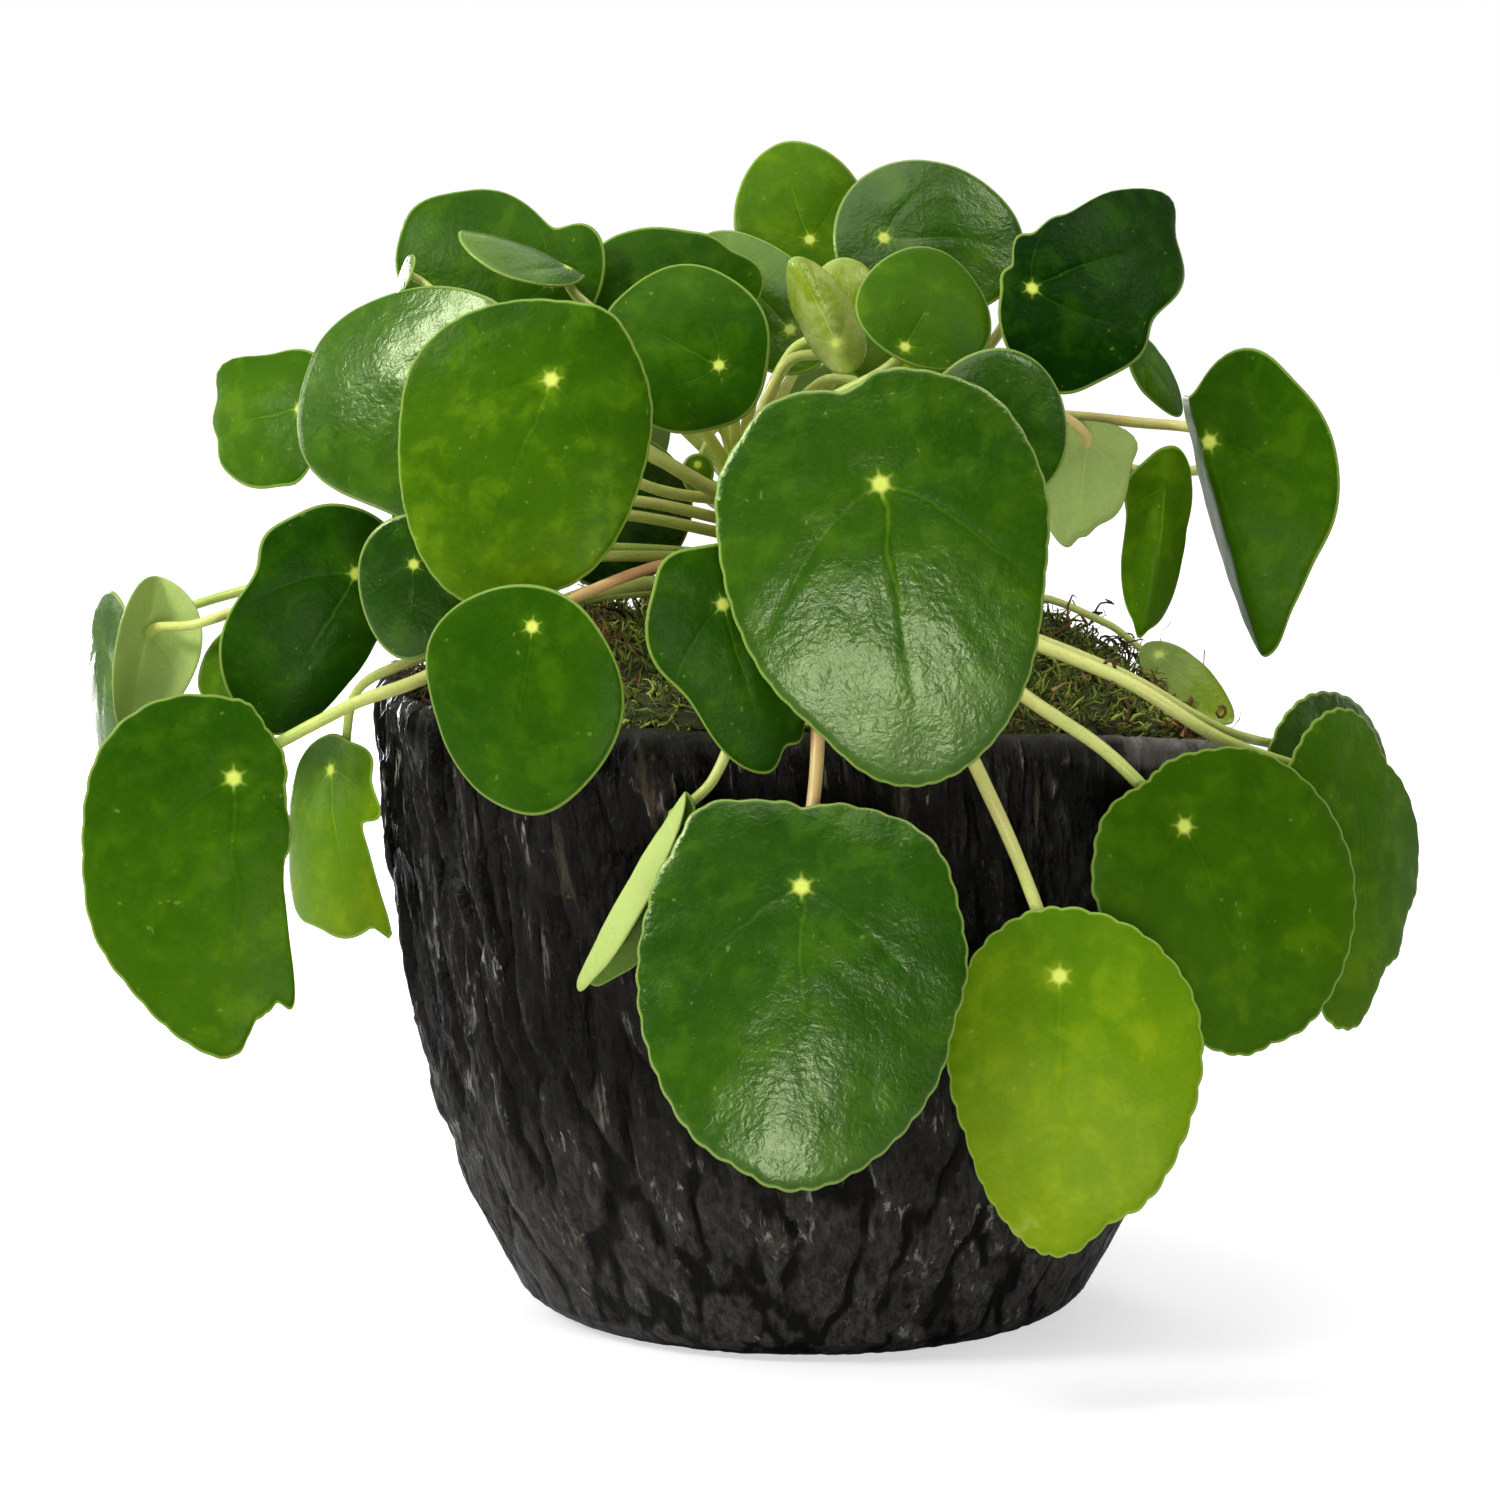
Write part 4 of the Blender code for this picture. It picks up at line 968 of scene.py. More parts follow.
@dataclass
class Blade:
    """One leaf blade, a thin plate about its dot with puckers, vein grooves and a rounded edge."""

    spec: LeafSpec
    look: Look
    thickness: float = 0.75
    pucker: float = 0.26
    groove: float = 0.20

    @property
    def number(self) -> int:
        """Number in the leaf's name."""
        return int(self.spec.name[-2:])

    def fineness(self) -> tuple[int, int]:
        """Choose how fine the blade is made, by its length and its scallops.

        Returns:
            How many rings it has and how many points each ring has.
        """
        length = self.spec.size[0]
        if self.look.scallops[0] and length > 50:
            return 22, 216
        return (20, 132) if length > 50 else (16, 96) if length > 34 else (11, 60) if length > 18 else (7, 36)

    def edge(self, turn: np.ndarray) -> tuple[np.ndarray, np.ndarray]:
        """Return the flat edge about the dot.

        Args:
            turn: angles from the tip towards the side.

        Returns:
            Places towards the tip and to the side.
        """
        spec = self.spec
        length, width = spec.size
        centre = length * (0.5 - spec.dot_share)
        u = centre + 0.5 * length * np.cos(turn)
        half = 0.5 * width + spec.aside * np.sign(np.sin(turn))
        v = half * np.sin(turn) * (1.0 - spec.egg * np.cos(turn))
        odd = 0.015 * np.sin(2.0 * turn + 1.7 * self.number) + 0.01 * np.sin(3.0 * turn + 2.3 * self.number)
        count, depth = self.look.scallops
        bite = depth * (np.abs(np.sin(0.5 * count * turn)) - 0.64)
        for angle, out, half_width in spec.lobes:
            bite = bite + out * np.exp(-((turn_gap(turn, angle) / half_width) ** 2))
        scale = 1.0 + odd + bite / np.maximum(np.hypot(u, v), 1.0)
        return u * scale, v * scale

    def bend(self, u: np.ndarray, v: np.ndarray) -> np.ndarray:
        """Bend flat places of the blade into the plant, exactly as the frame's blade is bent.

        Args:
            u: places towards the tip.
            v: places to the side.

        Returns:
            Points in millimetres.
        """
        spec = self.spec
        length, width = spec.size
        tip, side, face = axes_of(spec)
        rate = math.radians(spec.bend) / length
        turn = rate * u
        share = np.abs(v) / (0.5 * width)
        curl = np.radians(np.where(v < 0.0, spec.curl[0], spec.curl[1]))
        fold = np.radians(np.where(v < 0.0, spec.fold[0], spec.fold[1]))
        across = np.zeros_like(share)
        back = np.zeros_like(share)
        for step in range(10):
            part = share * (step + 0.5) / 10
            angle = fold * np.tanh(part / 0.08) + curl * part
            across += np.cos(angle) * np.abs(v) / 10
            back += np.sin(angle) * np.abs(v) / 10
        reach = np.hypot(u, v)
        swell = 0.7 * (1.0 - np.exp(-((reach / 8.0) ** 2)))
        wave = np.sin(3.0 * np.arctan2(v, u) + 1.3 * self.number)
        back -= swell + 0.016 * length * (reach / (0.5 * length)) ** 2 * wave
        points = np.outer(np.sin(turn) / rate, tip) - np.outer((1.0 - np.cos(turn)) / rate, face)
        points += np.outer(np.sign(v) * across, side)
        points -= (np.outer(np.cos(turn), face) + np.outer(np.sin(turn), tip)) * back[:, None]
        return points + np.array(spec.dot, dtype=float)

    def lumps(self, u: np.ndarray, v: np.ndarray) -> np.ndarray:
        """Return how far the sheet stands off its plain form: puckers, and grooves over the veins.

        Args:
            u: places towards the tip.
            v: places to the side.

        Returns:
            Heights in millimetres towards the upper face.
        """
        flat = np.stack((u, v), 1)
        reach = np.hypot(u, v)
        grow = self.spec.size[0] / PATTERN_LENGTH
        high = self.pucker * swirl(flat / 9.0, 3.7 * self.number)
        high += 0.5 * self.pucker * swirl(flat / 4.0, 5.1 * self.number)
        across = np.abs(v + 1.2 * swirl(flat / 12.0, 1.9 * self.number))
        fade = np.clip(1.6 - reach / (34.0 * grow), 0.0, 1.0)
        rib = np.exp(-((across / 1.3) ** 2)) * (u > 0.0)
        arch = across**2 * ARCH_BEND / grow + ARCH_LEAN * across
        rib += 0.7 * np.exp(-(((u - arch) / 1.5) ** 2)) * (across > 1.0)
        return (high - self.groove * self.look.veins * rib * fade) * (1.0 - np.exp(-((reach / 4.0) ** 2)))

    def build(self) -> Piece:
        """Return the finished blade.

        Returns:
            The mesh object, with its pattern attributes.
        """
        rings, around = self.fineness()
        turn = full_circle(around)
        edge_u, edge_v = self.edge(turn)
        shares = (np.arange(rings) + 1.0) / rings
        u = np.concatenate(([0.0], np.outer(shares, edge_u).ravel()))
        v = np.concatenate(([0.0], np.outer(shares, edge_v).ravel()))
        rim = np.concatenate(([99.0], np.outer(1.0 - shares, np.hypot(edge_u, edge_v)).ravel()))
        middle = self.bend(u, v)
        step = 0.05
        along = self.bend(u + step, v) - self.bend(u - step, v)
        aside = self.bend(u, v + step) - self.bend(u, v - step)
        normal = np.cross(along, aside)
        normal[0] = axes_of(self.spec)[2]
        normal /= np.linalg.norm(normal, axis=1)[:, None]
        middle += normal * self.lumps(u, v)[:, None]
        half = 0.5 * self.thickness * (1.0 - 0.35 * np.exp(-rim / 2.0))
        out = middle[-around:] - middle[-2 * around:-around]
        out /= np.linalg.norm(out, axis=1)[:, None]
        brim = middle[-around:] + 0.28 * out
        count = len(u)
        points = np.concatenate((middle + normal * half[:, None], middle - normal * half[:, None], brim))
        faces = [(0, 1 + i, 1 + (i + 1) % around) for i in range(around)]
        for ring in range(rings - 1):
            first = 1 + ring * around
            for i in range(around):
                here, after = first + i, first + (i + 1) % around
                faces.append((here, here + around, after + around, after))
        shell = faces + [tuple(corner + count for corner in reversed(face)) for face in faces]
        last = count - around
        for i in range(around):
            here, after = last + i, last + (i + 1) % around
            lip, next_lip = 2 * count + i, 2 * count + (i + 1) % around
            shell.append((here, lip, next_lip, after))
            shell.append((lip, here + count, after + count, next_lip))
        grow = PATTERN_LENGTH / self.spec.size[0]
        places = np.concatenate((
            np.stack((u * grow, v * grow, np.ones(count)), 1),
            np.stack((u * grow, v * grow, np.zeros(count)), 1),
            np.stack((edge_u * grow, edge_v * grow, np.full(around, 0.5)), 1)))
        length, share = self.spec.size[0], self.spec.dot_share
        low, high = self.look.green
        green = low + (high - low) * np.clip(places[:, 0] / (PATTERN_LENGTH * (1.0 - share)), -0.3, 1.0)
        dot_size = (0.9 + 0.014 * length) * grow * self.look.dot
        marks = {
            "blade": places,
            "green": green,
            "rim": np.concatenate((rim, rim, np.zeros(around))),
            "light_under": np.full(len(points), self.look.under),
            "mottle": np.full(len(points), self.look.mottle),
            "veins": np.full(len(points), self.look.veins),
            "dot_size": np.full(len(points), dot_size),
        }
        name = self.spec.name.replace("leaf", "blade")
        finish = SATIN_FINISH if self.look.coat is Coat.SATIN else WAXY_FINISH
        return make_piece(name, points, shell, finish.material(), marks)


def curve_through(knots: Sequence[Any], steps: int, last_ahead: Optional[np.ndarray] = None) -> np.ndarray:
    """Return points of a smooth curve through knots.

    Args:
        knots: points that the curve passes.
        steps: points for each span.
        last_ahead: direction in which the curve ends.

    Returns:
        The points.
    """
    knots = np.array(knots, dtype=float)
    spans = np.linalg.norm(np.diff(knots, axis=0), axis=1)
    ahead = np.zeros_like(knots)
    ahead[0] = (knots[1] - knots[0]) / spans[0]
    ahead[-1] = (knots[-1] - knots[-2]) / spans[-1] if last_ahead is None else last_ahead
    for i in range(1, len(knots) - 1):
        ahead[i] = (knots[i + 1] - knots[i - 1]) / (spans[i] + spans[i - 1])
    path = []
    for i, span in enumerate(spans):
        for t in np.arange(steps) / steps:
            point = (2 * t**3 - 3 * t**2 + 1) * knots[i] + (3 * t**2 - 2 * t**3) * knots[i + 1]
            path.append(point + span * ((t**3 - 2 * t**2 + t) * ahead[i] + (t**3 - t**2) * ahead[i + 1]))
    path.append(knots[-1])
    return np.array(path)


@dataclass
class LineSet:
    """Lines with a thickness and other marks at each point, to be grown into tubes."""

    points: list = field(default_factory=list)
    edges: list = field(default_factory=list)
    marks: dict = field(default_factory=dict)

    def draw(self, path: np.ndarray, **marks: np.ndarray) -> None:
        """Add one line.

        Args:
            path: its points in millimetres.
            **marks: values at the points, by attribute name.
        """
        first = len(self.points)
        self.points.extend(path.tolist())
        self.edges.extend((first + i, first + i + 1) for i in range(len(path) - 1))
        for key, values in marks.items():
            self.marks.setdefault(key, []).extend(np.broadcast_to(values, len(path)).tolist())

    def tubes(self, name: str, material: Material, sides: int, roughness: float, grain: float,
              seed: int) -> Piece:
        """Grow the lines into closed round tubes with a slightly uneven skin.

        Args:
            name: name of the piece.
            material: its finish.
            sides: how many sides a tube has.
            roughness: how far the skin moves, in millimetres.
            grain: size of its lumps, in millimetres.
            seed: which pattern of lumps.

        Returns:
            The finished object.
        """
        marks = {key: np.array(values) for key, values in self.marks.items()}
        marks["thick"] = marks["thick"] * MM
        base = make_piece(name, np.array(self.points), (), None, marks, self.edges)
        w = Growth(name + " growth", {
            "Sides": sides, "Skin relief": roughness * MM, "Lumps per metre": 1000.0 / grain,
            "Seed": seed, "Finish": material})
        curve = w.add("GeometryNodeMeshToCurve", {0: w.inlet.outputs[0]}).outputs[0]
        tube = w.tube(curve, w.size("Sides"), w.mark("thick"))
        feeds = {"W": w.size("Seed"), "Scale": w.size("Lumps per metre")}
        lump = w.add("ShaderNodeTexNoise", feeds, noise_dimensions="4D").outputs[0]
        rise = w.times(w.minus(lump, 0.5), w.size("Skin relief"))
        return w.grow(base, w.push(tube, rise))


@dataclass
class Stem:
    """The woody trunk and the stalks that carry the blades."""

    trunk: tuple = (
        (8.0, 0.0, 100.0, 6.0), (8.0, 0.0, 128.0, 7.0), (6.0, -1.0, 148.0, 7.5), (0.0, -1.0, 162.0, 6.8),
        (-8.0, 0.0, 174.0, 6.0), (-14.0, 0.0, 184.0, 4.6), (-16.0, 0.0, 190.0, 2.4))
    seat_depth: float = 0.45

    def root_of(self, share: float) -> np.ndarray:
        """Find a place on the trunk's middle line.

        Args:
            share: share of the way up.

        Returns:
            The point in millimetres.
        """
        line = np.array(self.trunk)[:, :3]
        place = share * (len(line) - 1)
        index = min(int(place), len(line) - 2)
        return line[index] + (line[index + 1] - line[index]) * (place - index)

    def stalk_of(self, spec: LeafSpec) -> np.ndarray:
        """Return the middle line of a stalk from inside the trunk to its blade.

        Args:
            spec: the leaf that it carries.

        Returns:
            Points in millimetres.
        """
        tip, side, face = axes_of(spec)
        root = self.root_of(spec.root)
        left, right = (math.radians(max(angle, 0.0)) for angle in spec.fold)
        behind = self.seat_depth + 1.2 * spec.stalk * math.tan(min(left, right))
        beside = 1.6 * spec.stalk * (math.sin(left) - math.sin(right))
        seat = np.array(spec.dot) - face * behind + side * beside
        middle = [np.array(point, dtype=float) for point in spec.via]
        if not middle:
            middle = [root + 0.5 * (seat - root) + np.array((0.0, 0.0, STALK_LIFT))]
        arrive = face + 0.5 * tip
        return curve_through([root, *middle, seat], 12, arrive / np.linalg.norm(arrive))

    def build(self) -> list[Piece]:
        """Build the wooden part and the stalks.

        Returns:
            The trunk and all the stalks, as two finished pieces.
        """
        wood = LineSet()
        knots = np.array(self.trunk)
        path = curve_through(knots[:, :3], 14)
        along = np.linspace(0.0, 1.0, len(path))
        thick = np.interp(along, np.linspace(0.0, 1.0, len(knots)), knots[:, 3])
        thick = thick * (1.0 + 0.07 * np.sin(along * 95.0) + 0.04 * np.sin(along * 41.0 + 1.0))
        wood.draw(path, thick=thick)
        stalks = LineSet()
        for spec in LEAVES:
            path = self.stalk_of(spec)
            share = np.linspace(0.0, 1.0, len(path))
            thick = spec.stalk * (1.25 - 0.3 * share + 0.25 * np.clip(share * 12.0 - 11.0, 0.0, 1.0))
            blush = LOOKS.get(spec.name, Look()).blush + 0.15 * np.sin(6.0 * share + len(path))
            stalks.draw(path, thick=thick, blush=blush)
        return [wood.tubes("trunk", TRUNK_FINISH.material(), 28, 2.4, 5.0, 3),
                stalks.tubes("petioles", STALK_FINISH.material(), 12, 0.18, 7.0, 5)]


def rim_dip(angle: np.ndarray, height: float) -> np.ndarray:
    """Return how far the upper pot sinks, as in the frame: its rim is lower on one side."""
    share = np.clip((height - DIP_START) / (POT_HEIGHT - DIP_START), 0.0, 1.0)
    return 10.0 * np.exp(-((turn_gap(angle, -5.0) / 42.0) ** 2)) * share


@dataclass
class BarkPot:
    """The pot: deep rough bark outside, a rounded lip, a plain inside and a flat foot."""

    height: float = POT_HEIGHT
    wall: float = 6.5
    floor: float = 8.0
    lip_reach: float = 96.0
    lip_foot: float = 136.2
    knob_at: Triple = (178.0, 13.0, 4.5)
    around: int = 840
    ridges: tuple = ((0.5, 1.0, 1.0, 0.34), (0.3, 2.4, 1.0, 0.8), (0.2, 6.0, 1.4, 1.0))
    outer: tuple = (
        (0.0, 55.0), (1.5, 59.5), (5.0, 64.0), (14.0, 69.0), (30.0, 76.8), (48.0, 83.5), (68.0, 88.8),
        (92.0, 92.3), (116.0, 94.6), (136.0, 96.2), (141.0, 94.6))

    def radius(self, height: Any) -> Any:
        """Return the plain outer radius at a height."""
        heights, radii = zip(*self.outer)
        return np.interp(height, heights, radii)

    def folds(self, angle: np.ndarray, height: float) -> np.ndarray:
        """Return the broad folds of the bark, as in the frame.

        Args:
            angle: angles about the pot's axis.
            height: height over the foot.

        Returns:
            How far the bark stands out, in millimetres.
        """
        lean = angle + 0.10 * np.sin(height / 21.0 + 2.0 * angle) + height * 0.0012
        ridges = 0.8 * np.sin(13.0 * lean) + 0.6 * np.sin(19.0 * lean + height / 15.0 + 1.0)
        ridges += 0.5 * np.sin(7.0 * lean - height / 26.0 + 2.0)
        fade = np.clip(height / 12.0, 0.0, 1.0) * np.clip((self.height - height) / 12.0, 0.25, 1.0)
        return ridges * fade

    def knob(self, angle: np.ndarray, rounded: float) -> np.ndarray:
        """Return how far the lip rises in the knob of bark at its left end."""
        middle, half_width, rise = self.knob_at
        return rise * np.exp(-((turn_gap(angle, middle) / half_width) ** 2)) * (1.0 if rounded > 0.0 else 0.0)

    def rows(self) -> list[tuple[float, float, float, float]]:
        """List the rows of points from the foot, over the lip, to the inner floor.

        Returns:
            Radius, height, bark share and lip share of each row.
        """
        rows = [(0.0, 0.9, 0.0, 0.0), (40.0, 0.9, 0.0, 0.0), (52.0, 0.6, 0.0, 0.0), (54.0, 0.0, 0.0, 0.0)]
        for height in np.concatenate(([0.0, 0.5, 1.2, 2.4, 3.8], np.arange(5.0, 136.0, 1.5))):
            bark = float(np.clip((height + 8.0) / 90.0, 0.0, 1.0))
            rows.append((float(self.radius(height)), float(height), bark, 0.0))
        inner = self.radius(133.0) - self.wall
        for share in np.linspace(0.0, 1.0, 12)[1:]:
            turn = share * math.pi
            middle, half = 0.5 * (inner + self.lip_reach), 0.5 * (self.lip_reach - inner)
            rows.append((middle + half * math.cos(turn), self.lip_foot + 5.0 * math.sin(turn) ** 0.8,
                         float(np.clip(1.0 - share * 1.8, 0.12, 1.0)), float(np.clip(share * 3.5, 0.0, 1.0))))
        for height in (128.0, 100.0, 48.0, 14.0):
            rows.append((float(self.radius(height)) - self.wall - 0.6, height, 0.0, 0.3))
        corner = float(self.radius(self.floor)) - self.wall - 4.6
        return rows + [(corner, self.floor, 0.0, 0.3), (0.0, self.floor, 0.0, 0.3)]

    def build(self) -> Piece:
        """Return the finished pot.

        Returns:
            The mesh object, its bark raised by geometry nodes.
        """
        turn = full_circle(self.around)
        points, bark, lip = [], [], []
        rows = self.rows()
        for radius, height, share, rounded in rows[1:-1]:
            reach = radius + (self.folds(turn, height) * share if share > 0.0 else 0.0)
            tall = height + self.knob(turn, rounded if height > 120.0 else 0.0) - rim_dip(turn, height)
            points.append(np.stack((reach * np.cos(turn), reach * np.sin(turn), tall), 1))
            bark.append(np.full(self.around, share))
            dip = rim_dip(turn, self.height)
            # Painted highlight: where the rim dips, the upper rows by the lip are marked 2, so the lip is
            # painted pale there.
            pale_crest = 2.0 * np.clip((height - 130.0) / 5.0, 0.0, 1.0) * np.clip((dip - 2.5) / 2.2, 0.0, 1.0)
            lip.append(np.maximum(rounded * (1.0 + 0.1 * dip), pale_crest))
        count = len(rows) - 2
        faces = band_faces(count, self.around)
        foot, bottom = count * self.around, count * self.around + 1
        last = (count - 1) * self.around
        faces += [(foot, (i + 1) % self.around, i) for i in range(self.around)]
        faces += [(bottom, last + i, last + (i + 1) % self.around) for i in range(self.around)]
        points = np.concatenate(points + [np.array(((0.0, 0.0, rows[0][1]), (0.0, 0.0, rows[-1][1])))])
        marks = {"bark": np.concatenate(bark + [np.zeros(2)]), "lip": np.concatenate(lip + [np.zeros(2)])}
        base = make_piece("bark_pot", points, faces, None, marks)
        w = Growth("bark growth", {
            "Ridges per metre": 68.0, "Stretch": 0.085, "Ridge depth": 0.0040, "Crumb depth": 0.0007,
            "Finish": BARK_FINISH.material()})
        place = w.position()
        bend = w.scaled(w.drift(26.0, 2.0, place), 0.011)
        tall = w.parts(place)[2]
        split = w.parts(w.slanted(w.vector("ADD", place, bend).outputs[0], tall))
        ridge = None
        for weight, finer, taller, groove in self.ridges:
            tall = w.times(split[2], w.times(w.size("Stretch"), taller))
            drawn = w.joined(split[0], split[1], tall)
            layer = w.speckle(drawn, w.times(w.size("Ridges per metre"), finer), 1.5, 0.5)
            form = w.step(w.calc("ABSOLUTE", w.calc("MULTIPLY_ADD", layer, 5.0, -2.5)), 0.02, groove)
            ridge = w.calc("MULTIPLY_ADD", form, weight, 0.0 if ridge is None else ridge)
        crumb = w.ripple(place, 330.0, 3.0, 0.6)
        rise = w.times(w.minus(ridge, 0.72), w.size("Ridge depth"))
        rise = w.plus(rise, w.times(crumb, w.size("Crumb depth")))
        rise = w.times(rise, w.mark("bark"))
        marked = w.store(w.inlet.outputs[0], "ridge", ridge)
        return w.grow(base, w.push(marked, rise))


class Strand(Enum):
    """Kinds of growth on the moss bed."""

    CURL = "curled strand"
    STAR = "star tuft"
    ROOT = "root thread"


@dataclass(frozen=True)
class Planting:
    """One kind of growth on the moss bed, with lengths in metres and its density for each square metre."""

    name: str
    kind: Strand
    finish: MossFinish
    density: float
    lengths: Pair
    lean: float
    curl: float
    thickness: float
    seed: int

    def sizes(self) -> dict[str, Any]:
        """List the named inputs of its tree.

        Returns:
            The value of each input by its name.
        """
        return {"Per square metre": self.density, "Least length": self.lengths[0],
                "Greatest length": self.lengths[1], "Lean": self.lean, "Curl": self.curl,
                "Thickness share": self.thickness, "Seed": self.seed, "Finish": self.finish.material()}


@dataclass
class MossBed:
    """The mound of moss about the trunk, with its curls, star tufts and root threads."""

    plantings: tuple[Planting, ...] = (
        Planting("moss_curls", Strand.CURL, STRAND_FINISH, 262000.0, (0.0022, 0.0062),
                 lean=1.1, curl=0.0055, thickness=0.094, seed=11),
        Planting("moss_stars", Strand.STAR, STRAND_FINISH, 100000.0, (0.0018, 0.0034),
                 lean=0.6, curl=0.0010, thickness=0.08, seed=23),
        Planting("root_threads", Strand.ROOT, ROOT_FINISH, 15000.0, (0.006, 0.014),
                 lean=1.3, curl=0.012, thickness=0.026, seed=37))
    foot: float = 128.3
    hole: float = 8.2
    outer: float = 88.0
    centre: Pair = (8.0, 0.0)
    around: int = 200

    def height(self, radius: np.ndarray, angle: np.ndarray) -> np.ndarray:
        """Return the height of the mound over its foot.

        Args:
            radius: distances from the pot's axis.
            angle: angles about it.

        Returns:
            Heights in millimetres.
        """
        edge = np.clip((self.outer - radius) / 26.0, 0.0, 1.0)
        swell = 11.0 + 13.0 * np.sin(0.5 * math.pi * edge) ** 0.8
        lumps = 1.8 * np.sin(5.0 * angle + radius / 9.0) + 1.5 * np.sin(9.0 * angle - radius / 7.0 + 1.0)
        swell = swell + (lumps + 1.2 * np.sin(3.0 * angle + 2.0)) * (0.4 + 0.6 * edge)
        return swell * self.share(radius, angle)

    def share(self, radius: np.ndarray, angle: np.ndarray) -> np.ndarray:
        """Return how much of its height the moss keeps where the rim is lower."""
        return 1.0 - 0.055 * rim_dip(angle, POT_HEIGHT) * np.clip((radius - 50.0) / 25.0, 0.0, 1.0)

    def bed(self, name: str, whole: bool = True) -> Piece:
        """Return the plain mound, or its upper face alone for the growth to stand on.

        Args:
            name: name of the object.
            whole: whether it is the closed mound.

        Returns:
            The mesh object.
        """
        turn = full_circle(self.around)
        rows = []

        def row(radius: float, share: float, height: Any) -> None:
            """Add one ring of the mound.

            Args:
                radius: its radius in millimetres.
                share: its share of the way out.
                height: one height, or the height of each point.
            """
            x = radius * np.cos(turn) + self.centre[0] * (1.0 - share)
            y = radius * np.sin(turn) + self.centre[1] * (1.0 - share)
            rows.append(np.stack((x, y, np.broadcast_to(height, turn.shape)), 1))

        if whole:
            row(self.hole, 0.0, self.foot)
            row(self.outer - 1.0, 1.0, self.foot)
        for share in np.linspace(1.0, 0.06, 48):
            radius = self.hole + (self.outer - 1.0 - self.hole) * share
            drop = 6.0 * np.clip((share - 0.93) / 0.07, 0.0, 1.0) ** 2 * self.share(radius, turn)
            row(radius, share, self.foot + self.height(radius, turn) - drop)
        if whole:
            row(self.hole + 1.6, 0.0, self.foot + 21.0)
            row(self.hole + 0.6, 0.0, self.foot + 12.0)
        return make_piece(name, np.concatenate(rows), band_faces(len(rows), self.around, whole))

    def mound(self) -> Piece:
        """Build the mound with a lumpy skin.

        Returns:
            The finished object.
        """
        w = Growth("mound growth", {
            "Lumps per metre": 170.0, "Lump height": 0.0045, "Finish": MOUND_FINISH.material()})
        lump = w.ripple(None, w.size("Lumps per metre"), 5.0, 0.65)
        rise = w.joined(z=w.times(lump, w.size("Lump height")))
        top = w.calc("GREATER_THAN", w.parts(w.position())[2], (self.foot + 3.0) * MM)
        moved = w.move(w.inlet.outputs[0], rise, top)
        return w.grow(self.bed("moss_bed"), w.store(moved, "tint", 0.45))

    def shoot(self, w: Growth, kind: Strand) -> Socket:
        """Return one shoot at the origin, growing along +Z.

        Args:
            w: the tree that it belongs to.
            kind: what sort of shoot it is.

        Returns:
            The output with its mesh.
        """
        if kind is Strand.STAR:
            leaflets = w.add("GeometryNodeMeshCone", {0: 3, 3: 0.0, 4: 0.16, 5: 1.0}).outputs[0]
            ring = w.add("GeometryNodeCurvePrimitiveCircle", {0: 6, 4: 0.10}).outputs[0]
            spots = w.add("GeometryNodeCurveToPoints", {0: ring, 1: 6}, mode="COUNT").outputs
            place = w.position()
            lean = w.vector("ADD", w.scaled(place, 9.0), (0.0, 0.0, 0.75)).outputs[0]
            turned = w.add("FunctionNodeAlignRotationToVector", {2: lean}, axis="Z").outputs[0]
            feeds = {0: spots[0], 2: leaflets, 5: turned, 6: (0.55, 0.55, 0.55)}
            return w.add("GeometryNodeInstanceOnPoints", feeds).outputs[0]
        count, out, up = (4, 0.55, 0.9) if kind is Strand.CURL else (12, 1.2, 0.5)
        bow = {0: count, 1: (0.0, 0.0, -0.15), 2: (0.0, 0.0, up), 3: (out, 0.1, up * 0.8)}
        arc = w.add("GeometryNodeCurveQuadraticBezier", bow).outputs[0]
        along = w.add("GeometryNodeSplineParameter").outputs[0]
        thin = w.calc("MULTIPLY_ADD", along, -0.75, 1.0)
        return w.tube(arc, 3, w.times(thin, w.size("Thickness share")))

    def shoots(self, plan: Planting) -> Piece:
        """Return a piece with many shoots of one kind over the mound.

        Args:
            plan: what sort of shoot it has, and how they stand.

        Returns:
            The finished object.
        """
        w = Growth(plan.name + " growth", plan.sizes())
        seed, lean = w.size("Seed"), w.size("Lean")
        feeds = {0: w.inlet.outputs[0], 4: w.size("Per square metre"), 6: seed}
        spots = w.add("GeometryNodeDistributePointsOnFaces", feeds, distribute_method="RANDOM").outputs
        tint = w.chance(0.0, 1.0, w.plus(seed, 1.0))
        marked = w.store(spots[0], "tint", tint)
        tilt = w.joined(w.times(w.chance(-1.0, 1.0, w.plus(seed, 2.0)), lean),
                        w.times(w.chance(-1.0, 1.0, w.plus(seed, 3.0)), lean),
                        w.chance(0.0, FULL_TURN, w.plus(seed, 4.0)))
        tilt = w.add("FunctionNodeEulerToRotation", {0: tilt}).outputs[0]
        feeds = {0: spots[2], 1: tilt}
        turned = w.add("FunctionNodeRotateRotation", feeds, rotation_space="LOCAL").outputs[0]
        size = w.chance(w.size("Least length"), w.size("Greatest length"), w.plus(seed, 5.0))
        shoot = self.shoot(w, plan.kind)
        placed = w.add("GeometryNodeInstanceOnPoints", {0: marked, 2: shoot, 5: turned, 6: size})
        real = w.add("GeometryNodeRealizeInstances", {0: placed.outputs[0]}).outputs[0]
        moved = w.move(real, w.scaled(w.drift(210.0, 1.0), w.size("Curl")))
        return w.grow(self.bed(plan.name, whole=False), moved)

    def build(self) -> list[Piece]:
        """Return the mound and each kind of growth on it."""
        return [self.mound(), *(self.shoots(plan) for plan in self.plantings)]


